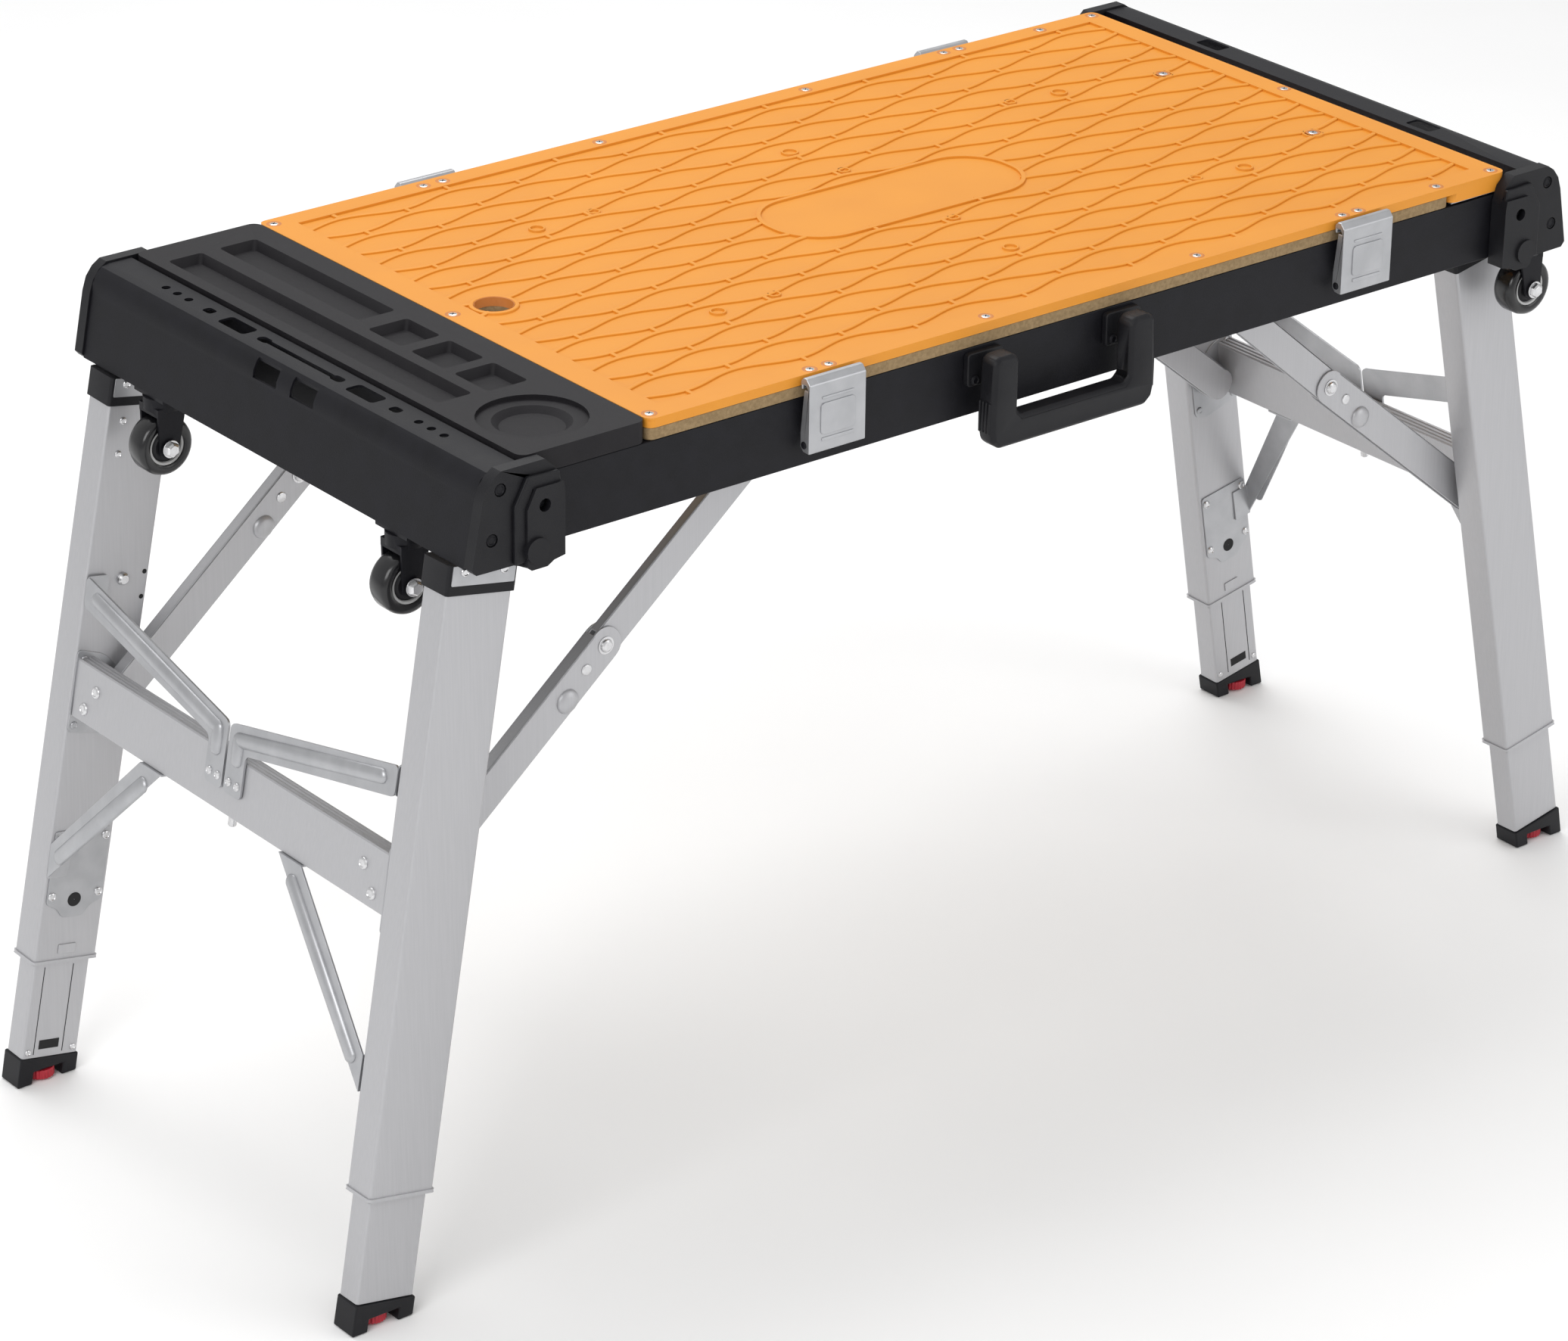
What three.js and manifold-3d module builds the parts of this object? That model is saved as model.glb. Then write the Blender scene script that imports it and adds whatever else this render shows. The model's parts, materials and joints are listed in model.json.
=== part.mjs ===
// Work platform bench: a folding steel frame with a ribbed deck, a tool tray, casters and two leg frames.
// Millimetres, +Z up. The origin is on the floor under the middle of the top frame.
// X runs along the bench, with the tool tray at the -X end. The carrying handle is on the -Y side.
import * as THREE from 'three';
import { mergeVertices } from 'three/addons/utils/BufferGeometryUtils.js';
import Module from 'manifold-3d';

const wasm = await Module();
wasm.setup();
const { Manifold, Mesh: SolidMesh } = wasm;

// ---------- driving dimensions ----------
const GAP = 0.3; // between pieces that touch
const STEEL = 1.6; // sheet of beams, rails, caps and struts

const DECK_TOP = 575.5;
const DECK_WIDTH = 432;
const BEAM_INNER_X = 430; // half the room between the two end beams
const TRAY_ROOM = 100.1; // from the tray end's beam to the deck
const END_ROOM = 12.9; // from the deck to the other beam
const PANEL_THICKNESS = 6.7;
const PANEL_CORNER = 6;
const LIP_LENGTH = 53; // the deeper moulded end of the panel
const LIP_DEPTH = 13;
const BOARD_THICKNESS = 8;
const FINGER_HOLE_RADIUS = 13.5;
const FINGER_HOLE_INSET = 39; // from the tray end of the deck to the middle of the hole

const BEAM_TOP = DECK_TOP - 2.5;
const BEAM_BOTTOM = DECK_TOP - 64;
const BEAM_SHOULDER_X = BEAM_INNER_X + 18; // where the flat top starts to round over
const BEAM_FACE_TOP_X = BEAM_INNER_X + 31.5;
const BEAM_FACE_TOP_Z = DECK_TOP - 20.5;
const BEAM_FOOT_X = BEAM_INNER_X + 40;
const BEAM_LIP = 10;
const BEAM_HOLE_X = BEAM_INNER_X + 11.5;

const RAIL_BOTTOM = DECK_TOP - 62;
const RAIL_FLANGE = 21;
const RAIL_END_X = BEAM_INNER_X + 22;
const RAIL_INSET = 0.5; // behind the edge of the deck

const BRACKET_THICKNESS = 9;
const BRACKET_RAISE = 5; // how far the raised pad stands off the plate
const BRACKET_INNER_X = BEAM_INNER_X - 25.5;
const BRACKET_TOP = DECK_TOP - 1;
const BRACKET_BOTTOM = DECK_TOP - 65.5;
const BRACKET_BOLT_RADIUS = 4.4;
const BRACKET_BOLTS = [[19.5, 13.2], [-10.4, 29], [26.1, 44.9]]; // past the beam's inner edge, below the deck

const TRAY_OUTER_X = BEAM_INNER_X - 2.5;
const TRAY_HEIGHT = 14.8;
const POCKET_DEPTH = 10;
const CUP_RADIUS = 25.5;
const CUP_STEP_RADIUS = 35.5;
const CUP_STEP_DEPTH = 3;
const CUP_AT = [46 - BEAM_INNER_X, 47.5 - DECK_WIDTH / 2];

const PIVOT_X = BEAM_INNER_X - 4; // the hinge line of each leg frame
const PIVOT_Z = DECK_TOP - 57.2;
const LEG_OFFSET = 18; // from the hinge line out to the middle of the tube
const TUBE_WIDTH = 50;
const TUBE_DEPTH = 25;
const TUBE_WALL = 1.5;
const TUBE_TOP = 18; // below the hinge line, so that the leg swings clear of the beam's foot
const TUBE_BOTTOM = PIVOT_Z - 78.3; // below the hinge line, and so clear of the foot
const TUBE_CORNER = 2.2;
const CAP_WALL = 1.2;
const CAP_DROP = 36; // below the hinge line
const EAR_RADIUS = 8.5; // round the hinge line
const EAR_THICKNESS = 2.6;
const INNER_PLAY = 1.25; // round the drawn tube inside the outer one
const INNER_WIDTH = TUBE_WIDTH - 2 * (TUBE_WALL + INNER_PLAY);
const INNER_DEPTH = TUBE_DEPTH - 2 * (TUBE_WALL + INNER_PLAY);
const INNER_OVERLAP = 60; // tube left inside when the leg is drawn right out
const LEG_TRAVEL = 228;
const FOOT_HEIGHT = 18;
const FOOT_WIDTH = INNER_WIDTH + 2;
const FOOT_DEPTH = INNER_DEPTH + 2.5;
const LEVEL_WHEEL_RADIUS = 10;
const LEVEL_WHEEL_WIDTH = 6.6;
const LEVEL_WHEEL_LIFT = 4.6; // from the floor to its middle
const LEG_FLARE = 1.3; // degrees that each leg leans out sideways

const RUNG_DROP = TUBE_BOTTOM - 205; // hinge line to the middle of the rung
const RUNG_HEIGHT = 41;
const RUNG_DEPTH = 14;
const RUNG_WALL = 2;
const STRUT_WIDTH = 21;
const UPPER_STRUT_DROP = RUNG_DROP - 69; // hinge line to the middle of the upper strut, at the leg
const UPPER_STRUT_RISE = 14; // its middle above the top of the rung
const LOWER_STRUT_DROP = TUBE_BOTTOM - 78;
const LOWER_STRUT_Y = 81.5;

const LINK_THICKNESS = 5;
const LINK_RADIUS = 12.4;
const BRACE_LEG_DROP = RUNG_DROP + 5;
const BRACE_ROOM = 1.1; // from the side of a brace to the rung
const BRACE_KNUCKLE = [92, -109.3]; // inboard of the hinge line, and below it
const BRACE_HANGER_RISE = 12.7; // above the hinge line

const WHEEL_RADIUS = 20.4;
const WHEEL_WIDTH = 18;
const WHEEL_X = BEAM_INNER_X + 32;
const AXLE_RADIUS = 4;
const FORK_SHEET = 1.8;
const CASTER_PLATE_Z = DECK_TOP - 66.5;
const CASTER_NECK = 14.1; // over the wheel, for the fork's bridge and swivel head
const AXLE_Z = CASTER_PLATE_Z - WHEEL_RADIUS - CASTER_NECK;
const CASTER_PLATE = 34;
const CASTER_TRAIL = 3;
const SWIVEL_RADIUS = 13;

const LATCH_SPREAD = 231.5; // from the middle of the deck
const LATCH_WIDTH = 46;
const LATCH_SHEET = 1.6;
const LATCH_PIN_Z = DECK_TOP - 45.5;
const LATCH_PIN_OUT = 5.2; // from the face of the rail
const LATCH_DEPTH = 10.5;

const HANDLE_WIDTH = 142;
const HANDLE_ARM = 23;
const HANDLE_GRIP = 20;
const HANDLE_THICKNESS = 16;
const HANDLE_PIN_Z = DECK_TOP - 23.5;
const HANDLE_DROP = 56;
const HANDLE_PIN_OUT = 18;

// Each leg frame: its side, its splay in degrees, how far in from the deck's edge its legs and its casters
// stand at the hinge line, and how far inboard of the hinge line its braces hang.
const LEG_FRAMES = [
  { name: 'left', side: -1, splay: 10.44, legInset: 26, casterInset: 78.4, hanger: 240 },
  { name: 'right', side: 1, splay: 11.2, legInset: 62.6, casterInset: 20, hanger: 236 },
];
for (const frame of LEG_FRAMES) {
  frame.spacing = DECK_WIDTH / 2 - frame.legInset;
  frame.caster = DECK_WIDTH / 2 - frame.casterInset;
}
const ENDS = [{ name: 'front', y: -1 }, { name: 'back', y: 1 }];

// ---------- worked-out places ----------
const deckLeft = TRAY_ROOM - BEAM_INNER_X;
const deckRight = BEAM_INNER_X - END_ROOM;
const deckLength = deckRight - deckLeft;
const deckCentre = (deckLeft + deckRight) / 2;
const deckHalf = DECK_WIDTH / 2;
const boardTop = DECK_TOP - PANEL_THICKNESS - GAP;
const railTop = boardTop - BOARD_THICKNESS - GAP;
const railFace = deckHalf - RAIL_INSET;
const bracketBack = deckHalf + GAP;
const bracketFace = bracketBack + BRACKET_THICKNESS;
const lean = (BEAM_FOOT_X - BEAM_FACE_TOP_X) / (BEAM_FACE_TOP_Z - BEAM_BOTTOM);
const strutOut = LEG_OFFSET + TUBE_WIDTH / 2; // the outboard face of the legs, from the hinge line
const rungOut = strutOut - STEEL - 2 * GAP;
const braceOut = rungOut - RUNG_DEPTH - BRACE_ROOM - LINK_RADIUS; // a brace's pivot on the leg

// ---------- helpers ----------
const radians = THREE.MathUtils.degToRad;

/** A closed solid from a three.js geometry. */
function solid(geometry) {
  const bare = geometry.clone();
  bare.deleteAttribute('normal');
  bare.deleteAttribute('uv');
  const merged = mergeVertices(bare, 1e-5);
  return new Manifold(new SolidMesh({
    numProp: 3,
    vertProperties: new Float32Array(merged.attributes.position.array),
    triVerts: new Uint32Array(merged.index.array),
  }));
}

/** A block between two corners. */
function block(x, y, z) {
  const geometry = new THREE.BoxGeometry(x[1] - x[0], y[1] - y[0], z[1] - z[0]);
  geometry.translate((x[0] + x[1]) / 2, (y[0] + y[1]) / 2, (z[0] + z[1]) / 2);
  return solid(geometry);
}

/** A round bar along an axis, from one place on it to another. */
function bar(axis, radius, from, to, at, sides = 20) {
  const geometry = new THREE.CylinderGeometry(radius, radius, to - from, sides);
  if (axis === 'x') geometry.rotateZ(-Math.PI / 2);
  if (axis === 'z') geometry.rotateX(Math.PI / 2);
  const middle = (from + to) / 2;
  if (axis === 'x') geometry.translate(middle, at[0], at[1]);
  if (axis === 'y') geometry.translate(at[0], middle, at[1]);
  if (axis === 'z') geometry.translate(at[0], at[1], middle);
  return solid(geometry);
}

function extrusion(shape, depth, steps) {
  return new THREE.ExtrudeGeometry(shape, { depth, bevelEnabled: false, curveSegments: steps });
}

/** A shape drawn in X and Y, raised along Z from one height to another. */
function raised(shape, from, to, steps = 4) {
  const geometry = extrusion(shape, to - from, steps);
  geometry.translate(0, 0, from);
  return solid(geometry);
}

/** A shape drawn in X and Z, pushed along Y. */
function pushedAlongY(shape, from, to, steps = 4) {
  const geometry = extrusion(shape, to - from, steps);
  geometry.rotateX(Math.PI / 2);
  geometry.translate(0, to, 0);
  return solid(geometry);
}

/** A shape drawn in Y and Z, pushed along X. */
function pushedAlongX(shape, from, to, steps = 4) {
  const geometry = extrusion(shape, to - from, steps);
  geometry.rotateX(Math.PI / 2);
  geometry.rotateZ(Math.PI / 2);
  geometry.translate(from, 0, 0);
  return solid(geometry);
}

function outline(points) {
  return new THREE.Shape(points.map(([a, b]) => new THREE.Vector2(a, b)));
}

/** A rectangle with rounded corners. */
function rounded(width, height, radius, x = 0, y = 0) {
  const shape = new THREE.Shape();
  const [w, h] = [width / 2, height / 2];
  shape.moveTo(x - w + radius, y - h);
  shape.lineTo(x + w - radius, y - h);
  shape.absarc(x + w - radius, y - h + radius, radius, -Math.PI / 2, 0);
  shape.lineTo(x + w, y + h - radius);
  shape.absarc(x + w - radius, y + h - radius, radius, 0, Math.PI / 2);
  shape.lineTo(x - w + radius, y + h);
  shape.absarc(x - w + radius, y + h - radius, radius, Math.PI / 2, Math.PI);
  shape.lineTo(x - w, y - h + radius);
  shape.absarc(x - w + radius, y - h + radius, radius, Math.PI, 1.5 * Math.PI);
  return shape;
}

/** A rectangular tube section: outside size and wall. */
function tubeSection(width, depth, corner, wall) {
  const shape = rounded(width, depth, corner);
  shape.holes.push(rounded(width - 2 * wall, depth - 2 * wall, Math.max(corner - wall, 0.4)));
  return shape;
}

/** The same outline for the other end or side of the bench: X turned over where the side is -1. */
function facing(side, points) {
  const turned = points.map(([x, z]) => [side * x, z]);
  return side < 0 ? turned.reverse() : turned;
}

function finish(colour, roughness, metalness) {
  return () => new THREE.MeshStandardMaterial({ color: colour, roughness, metalness });
}

const blackPaint = finish(0x2b2b30, 0.55, 0.1);
const blackPlastic = finish(0x1b1b1e, 0.5, 0);
const trayPlastic = finish(0x3a393d, 0.6, 0);
const orangePlastic = finish(0xe8963c, 0.5, 0);
const fibreboard = finish(0xb59a72, 0.9, 0);
const greyPaint = finish(0xa9a8ac, 0.45, 0.4);
const zinc = finish(0xb9bcc2, 0.35, 0.8);
const redPlastic = finish(0x9c1225, 0.45, 0);
const tyre = finish(0x141416, 0.35, 0);

/** A named mesh from a solid, with flat shading from its own faces. */
function piece(name, body, material) {
  const { numProp, vertProperties, triVerts } = body.getMesh();
  const geometry = new THREE.BufferGeometry();
  const positions = new Float32Array((vertProperties.length / numProp) * 3);
  for (let i = 0; i < positions.length / 3; i += 1) {
    positions.set(vertProperties.subarray(i * numProp, i * numProp + 3), i * 3);
  }
  geometry.setAttribute('position', new THREE.BufferAttribute(positions, 3));
  geometry.setIndex(new THREE.BufferAttribute(new Uint32Array(triVerts), 1));
  const mesh = new THREE.Mesh(geometry, material());
  mesh.name = name;
  return mesh;
}

const bench = new THREE.Group();
bench.name = 'work_platform_bench';

// ---------- top frame ----------
/** How far out the face of an end beam is at a height. */
function beamFace(z) {
  return BEAM_FACE_TOP_X + (BEAM_FACE_TOP_Z - z) * lean;
}

/** The outside line of a beam from its inner edge over the shoulder and down to its foot, offset inwards. */
function beamLine(inset) {
  const line = [[BEAM_INNER_X, BEAM_TOP - inset], [BEAM_SHOULDER_X, BEAM_TOP - inset]];
  const centre = [BEAM_SHOULDER_X, BEAM_FACE_TOP_Z];
  const [across, up] = [BEAM_FACE_TOP_X - BEAM_SHOULDER_X, BEAM_TOP - BEAM_FACE_TOP_Z];
  for (const degrees of [67.5, 45, 22.5, 0]) {
    const turn = radians(degrees);
    line.push([centre[0] + (across - inset) * Math.cos(turn), centre[1] + (up - inset) * Math.sin(turn)]);
  }
  line.push([BEAM_FOOT_X - inset, BEAM_BOTTOM]);
  return line;
}

function endBeam(side, casterY) {
  const outside = beamLine(0);
  const inside = beamLine(STEEL).slice(1).reverse();
  const lip = BEAM_INNER_X + STEEL;
  const section = [
    ...outside, ...inside,
    [lip, BEAM_TOP - STEEL], [lip, BEAM_TOP - BEAM_LIP], [BEAM_INNER_X, BEAM_TOP - BEAM_LIP],
  ].reverse();
  let beam = pushedAlongY(outline(facing(side, section)), -deckHalf, deckHalf);
  for (const y of [-casterY, casterY]) {
    const plateX = [BEAM_INNER_X, beamFace(CASTER_PLATE_Z) - STEEL / 2];
    const x = plateX.map((value) => side * value).sort((a, b) => a - b);
    const top = BEAM_BOTTOM + 1;
    beam = beam.add(block(x, [y - CASTER_PLATE / 2, y + CASTER_PLATE / 2], [CASTER_PLATE_Z, top]));
  }
  return beam;
}

/** Holes through the flat top of a beam: [y, length along y, width along x, corner]. */
function topHoles(beam, side, holes) {
  let cut = beam;
  for (const [y, length, width, corner] of holes) {
    const shape = rounded(width, length, corner, side * BEAM_HOLE_X, y);
    cut = cut.subtract(raised(shape, BEAM_TOP - 2 * STEEL, BEAM_TOP + STEEL, 2));
  }
  return cut;
}

const trayEndHoles = [];
for (const way of [-1, 1]) {
  for (const y of [129, 142.5, 156]) trayEndHoles.push([way * y, 6, 6, 2.9]);
  trayEndHoles.push([way * 104.5, 9.5, 7, 2.5]);
  trayEndHoles.push([way * 72, 30, 12.5, 3]);
}
trayEndHoles.push([0, 82, 4, 1.9]);
for (const way of [-1, 1]) trayEndHoles.push([way * 41, 12, 7, 3.4]);

/** Two windows in the upright face of the tray end's beam. */
function faceWindows(beam) {
  let cut = beam;
  for (const y of [13, -28.5]) {
    const height = [BEAM_TOP - 16, BEAM_TOP - 3];
    cut = cut.subtract(block([-BEAM_FOOT_X - 2, -BEAM_FACE_TOP_X + 6], [y - 13, y + 13], height));
  }
  return cut;
}

const leftBeam = topHoles(endBeam(-1, LEG_FRAMES[0].caster), -1, trayEndHoles);
bench.add(piece('end_beam_left', faceWindows(leftBeam), blackPaint));
const gripHoles = [[-110, 24, 13, 2.5], [110, 24, 13, 2.5]];
bench.add(piece('end_beam_right', topHoles(endBeam(1, LEG_FRAMES[1].caster), 1, gripHoles), blackPaint));

/** The layers of one leg's brace across the bench: its outer link, its inner link and its hanger. */
function braceLayers(spacing) {
  const legInner = spacing - TUBE_DEPTH / 2;
  const lower = [legInner - GAP - LINK_THICKNESS, legInner - GAP];
  const upper = [lower[0] - GAP - LINK_THICKNESS, lower[0] - GAP];
  return { lower, upper, hanger: [upper[0] - GAP - STEEL, upper[0] - GAP], legInner };
}

/** A side rail: an angle with its flange under the deck, and the two hangers that its braces fold from. */
function sideRail(way) {
  const section = outline([
    [railFace, RAIL_BOTTOM], [railFace, railTop], [railFace - RAIL_FLANGE, railTop],
    [railFace - RAIL_FLANGE, railTop - STEEL], [railFace - STEEL, railTop - STEEL],
    [railFace - STEEL, RAIL_BOTTOM],
  ]);
  let rail = pushedAlongX(section, -RAIL_END_X, RAIL_END_X);
  for (const frame of LEG_FRAMES) {
    const x = frame.side * (PIVOT_X - frame.hanger);
    const span = [x - 15, x + 15];
    const { hanger } = braceLayers(frame.spacing);
    const pivotZ = PIVOT_Z + BRACE_HANGER_RISE;
    rail = rail.add(block(span, [hanger[0], railFace - RAIL_FLANGE + 2], [railTop - STEEL, railTop]));
    rail = rail.add(block(span, hanger, [pivotZ, railTop - STEEL / 2]));
    rail = rail.add(bar('y', 15, hanger[0], hanger[1], [x, pivotZ], 24));
  }
  return way < 0 ? rail.mirror([0, 1, 0]) : rail;
}

for (const end of ENDS) bench.add(piece(`side_rail_${end.name}`, sideRail(end.y), blackPaint));

/** A corner bracket: a thick plate over the ends of a beam and a rail, with a raised pad and a hinge boss. */
function cornerBracket(side, way) {
  const lobe = [
    [BRACKET_INNER_X, BRACKET_BOTTOM], [PIVOT_X - 13, BRACKET_BOTTOM - 1.5],
    [PIVOT_X - 8, BRACKET_BOTTOM - 4.5], [PIVOT_X + 4, BRACKET_BOTTOM - 4.5],
  ];
  const plate = facing(side, [
    ...lobe, [PIVOT_X + 10, BRACKET_BOTTOM - 1.5], [PIVOT_X + 14, BRACKET_BOTTOM],
    [BEAM_FOOT_X - 2, BRACKET_BOTTOM + 0.5], [BEAM_FOOT_X + 1, BRACKET_BOTTOM + 4],
    [BEAM_FACE_TOP_X + 1.5, BEAM_FACE_TOP_Z], [BEAM_FACE_TOP_X - 1.5, BRACKET_TOP - 10.5],
    [BEAM_FACE_TOP_X - 6.5, BRACKET_TOP - 4], [BEAM_SHOULDER_X + 1, BRACKET_TOP],
    [BRACKET_INNER_X + 11.5, BRACKET_TOP], [BRACKET_INNER_X + 3.5, BRACKET_TOP - 7.5],
    [BRACKET_INNER_X, BRACKET_TOP - 18.5],
  ]);
  const pad = facing(side, [
    ...lobe, [PIVOT_X + 7, BRACKET_BOTTOM - 1.5], [PIVOT_X + 7, BRACKET_TOP - 28.5],
    [PIVOT_X, BRACKET_TOP - 15.5], [BRACKET_INNER_X + 1, BRACKET_TOP - 15.5],
    [BRACKET_INNER_X, BRACKET_TOP - 22.5],
  ]);
  let bracket = pushedAlongY(outline(plate), bracketBack, bracketFace);
  bracket = bracket.add(pushedAlongY(outline(pad), bracketFace - 1, bracketFace + BRACKET_RAISE));
  const boss = side * PIVOT_X;
  bracket = bracket.add(bar('y', 8.5, bracketFace, bracketFace + BRACKET_RAISE + 2, [boss, PIVOT_Z], 16));
  for (const [past, below] of BRACKET_BOLTS) {
    const at = [side * (BEAM_INNER_X + past), DECK_TOP - below];
    const through = [bracketBack - 1, bracketFace + BRACKET_RAISE + 1];
    bracket = bracket.subtract(bar('y', BRACKET_BOLT_RADIUS, through[0], through[1], at, 12));
  }
  return way < 0 ? bracket.mirror([0, 1, 0]) : bracket;
}

for (const frame of LEG_FRAMES) {
  for (const end of ENDS) {
    const name = `corner_bracket_${end.name}_${frame.name}`;
    bench.add(piece(name, cornerBracket(frame.side, end.y), blackPlastic));
  }
}

// ---------- tray and deck ----------
/** The tool tray: two troughs, three bit pockets and a stepped cup well, all sunk into one moulding. */
function toolTray() {
  const [left, right] = [-TRAY_OUTER_X, deckLeft - 1];
  const [top, bottom] = [DECK_TOP, DECK_TOP - TRAY_HEIGHT];
  const body = rounded(right - left, DECK_WIDTH, 7, (left + right) / 2, 0);
  let tray = raised(body, bottom, top);
  const sunk = (x, y, depth, corner) => {
    const shape = rounded(x[1] - x[0], y[1] - y[0], corner, (x[0] + x[1]) / 2, (y[0] + y[1]) / 2);
    tray = tray.subtract(raised(shape, top - depth, top + 1, 3));
  };
  sunk([left + 9.5, left + 36], [100 - deckHalf, deckHalf - 26], POCKET_DEPTH, 3);
  sunk([right - 47, right - 18], [244 - deckHalf, deckHalf - 26], POCKET_DEPTH, 3);
  for (const along of [209.5, 162, 115]) {
    const y = along - deckHalf;
    sunk([right - 51, right - 20], [y - 18.5, y + 18.5], POCKET_DEPTH, 3);
  }
  tray = tray.subtract(bar('z', CUP_STEP_RADIUS, top - CUP_STEP_DEPTH, top + 1, CUP_AT, 36));
  tray = tray.subtract(bar('z', CUP_RADIUS, top - POCKET_DEPTH - 1, top + 1, CUP_AT, 32));
  return tray;
}

function deckPanel() {
  const body = rounded(deckLength, DECK_WIDTH, PANEL_CORNER, deckCentre, 0);
  let panel = raised(body, DECK_TOP - PANEL_THICKNESS, DECK_TOP);
  const lip = rounded(LIP_LENGTH, DECK_WIDTH, PANEL_CORNER, deckRight - LIP_LENGTH / 2, 0);
  panel = panel.add(raised(lip, DECK_TOP - LIP_DEPTH, DECK_TOP - 1));
  const hole = [deckLeft + FINGER_HOLE_INSET, 0];
  return panel.subtract(bar('z', FINGER_HOLE_RADIUS, DECK_TOP - 20, DECK_TOP + 5, hole, 32));
}

function deckBoard() {
  const length = deckLength - LIP_LENGTH - GAP;
  const body = rounded(length, DECK_WIDTH - 1, PANEL_CORNER, deckLeft + length / 2, 0);
  const board = raised(body, boardTop - BOARD_THICKNESS, boardTop);
  const hole = [deckLeft + FINGER_HOLE_INSET, 0];
  return board.subtract(bar('z', FINGER_HOLE_RADIUS, boardTop - 20, boardTop + 5, hole, 32));
}

bench.add(piece('tool_tray', toolTray(), trayPlastic));
bench.add(piece('deck_panel', deckPanel(), orangePlastic));
bench.add(piece('deck_board', deckBoard(), fibreboard));

// ---------- latches and handle ----------
/** A toggle latch cover, drawn about its low pin: a pressed lid with side walls and a rolled hook on top. */
function latchCover() {
  const top = DECK_TOP - LATCH_PIN_Z;
  const back = LATCH_PIN_OUT - 1.2;
  const front = -(LATCH_DEPTH - LATCH_PIN_OUT);
  const half = LATCH_WIDTH / 2;
  const lid = outline([
    [front, -5], [front + LATCH_SHEET, -5], [front + LATCH_SHEET, top - 9], [front + 4, top - 5],
    [back - 2, top - 5], [back - 2, top - 8], [back, top - 8], [back, top - 2.5],
    [back - 2.5, top], [front + 3.5, top], [front, top - 4],
  ]);
  let cover = pushedAlongX(lid, -half, half);
  const wall = outline([
    [front, -5], [back - 3, -5], [back, -2], [back, 8], [front + 6, top - 8], [front, top - 8],
  ]);
  for (const x of [-half, half - LATCH_SHEET]) cover = cover.add(pushedAlongX(wall, x, x + LATCH_SHEET));
  return cover;
}

for (const end of ENDS) {
  for (const frame of LEG_FRAMES) {
    const cover = end.y < 0 ? latchCover() : latchCover().mirror([0, 1, 0]);
    const mesh = piece(`latch_cover_${end.name}_${frame.name}`, cover, zinc);
    const x = deckCentre + frame.side * LATCH_SPREAD;
    mesh.position.set(x, end.y * (railFace + LATCH_PIN_OUT + 1), LATCH_PIN_Z);
    bench.add(mesh);
  }
}

/** The carrying handle, drawn about its hinge line: two arms and a thick grip. */
function carryHandle() {
  const half = HANDLE_WIDTH / 2;
  const bottom = -HANDLE_DROP;
  const shape = outline([
    [-half + 8, bottom], [half - 8, bottom], [half - 2, bottom + 5], [half, bottom + 14],
    [half - 2, 5], [half - 6, 8],
    [half - HANDLE_ARM + 4, 8], [half - HANDLE_ARM, 4], [half - HANDLE_ARM, bottom + HANDLE_GRIP + 4],
    [half - HANDLE_ARM - 4, bottom + HANDLE_GRIP], [-half + HANDLE_ARM + 4, bottom + HANDLE_GRIP],
    [-half + HANDLE_ARM, bottom + HANDLE_GRIP + 4], [-half + HANDLE_ARM, 4], [-half + HANDLE_ARM - 4, 8],
    [-half + 6, 8], [-half + 2, 5], [-half, bottom + 14], [-half + 2, bottom + 5],
  ]);
  const bevel = { bevelEnabled: true, bevelThickness: 3, bevelSize: 3, bevelOffset: -3, bevelSegments: 2 };
  const geometry = new THREE.ExtrudeGeometry(shape, { depth: HANDLE_THICKNESS - 6, ...bevel });
  geometry.rotateX(Math.PI / 2);
  geometry.translate(0, HANDLE_THICKNESS / 2 - 3, 0);
  return solid(geometry);
}

const handle = piece('carry_handle', carryHandle(), blackPlastic);
handle.position.set(0, -(railFace + HANDLE_PIN_OUT), HANDLE_PIN_Z);
bench.add(handle);

// ---------- casters ----------
/** A caster fork about its swivel line: the swivel head, the bridge, two arms and the axle. */
function casterFork(trail) {
  const head = CASTER_PLATE_Z - GAP - AXLE_Z;
  const arm = WHEEL_WIDTH / 2 + 0.5;
  const bridge = WHEEL_RADIUS + 2;
  let fork = bar('z', SWIVEL_RADIUS, bridge + 3, head, [0, 0], 20);
  const reach = arm + FORK_SHEET;
  fork = fork.add(block([-11, 11], [-reach, reach], [bridge, bridge + 6]));
  for (const y of [-reach, arm]) {
    const side = outline([
      [-11, bridge + 5], [trail - 7, -4], [trail - 3, -7], [trail + 3, -7], [trail + 7, -4], [11, bridge + 5],
    ]);
    fork = fork.add(pushedAlongY(side, y, y + FORK_SHEET));
  }
  return fork.add(bar('y', AXLE_RADIUS, -arm - 0.5, arm + 0.5, [trail, 0], 16));
}

/** A caster wheel about its own middle, with a crowned tread, a sunk hub face and a bore. */
function casterWheel() {
  const half = WHEEL_WIDTH / 2;
  const bore = AXLE_RADIUS + 0.4;
  const hub = bore + 5.1;
  const rim = WHEEL_RADIUS - 5.9;
  const profile = [
    [bore, -half + 1], [hub, -half + 1], [hub + 1, -half + 2.5], [rim - 1, -half + 2.5], [rim, -half],
    [rim + 3, -half], [WHEEL_RADIUS, -half + 4], [WHEEL_RADIUS, half - 4], [rim + 3, half],
    [rim, half], [rim - 1, half - 2.5], [hub + 1, half - 2.5], [hub, half - 1], [bore, half - 1],
    [bore, -half + 1],
  ];
  const geometry = new THREE.LatheGeometry(profile.map(([r, h]) => new THREE.Vector2(r, h)), 24);
  return solid(geometry);
}

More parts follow.
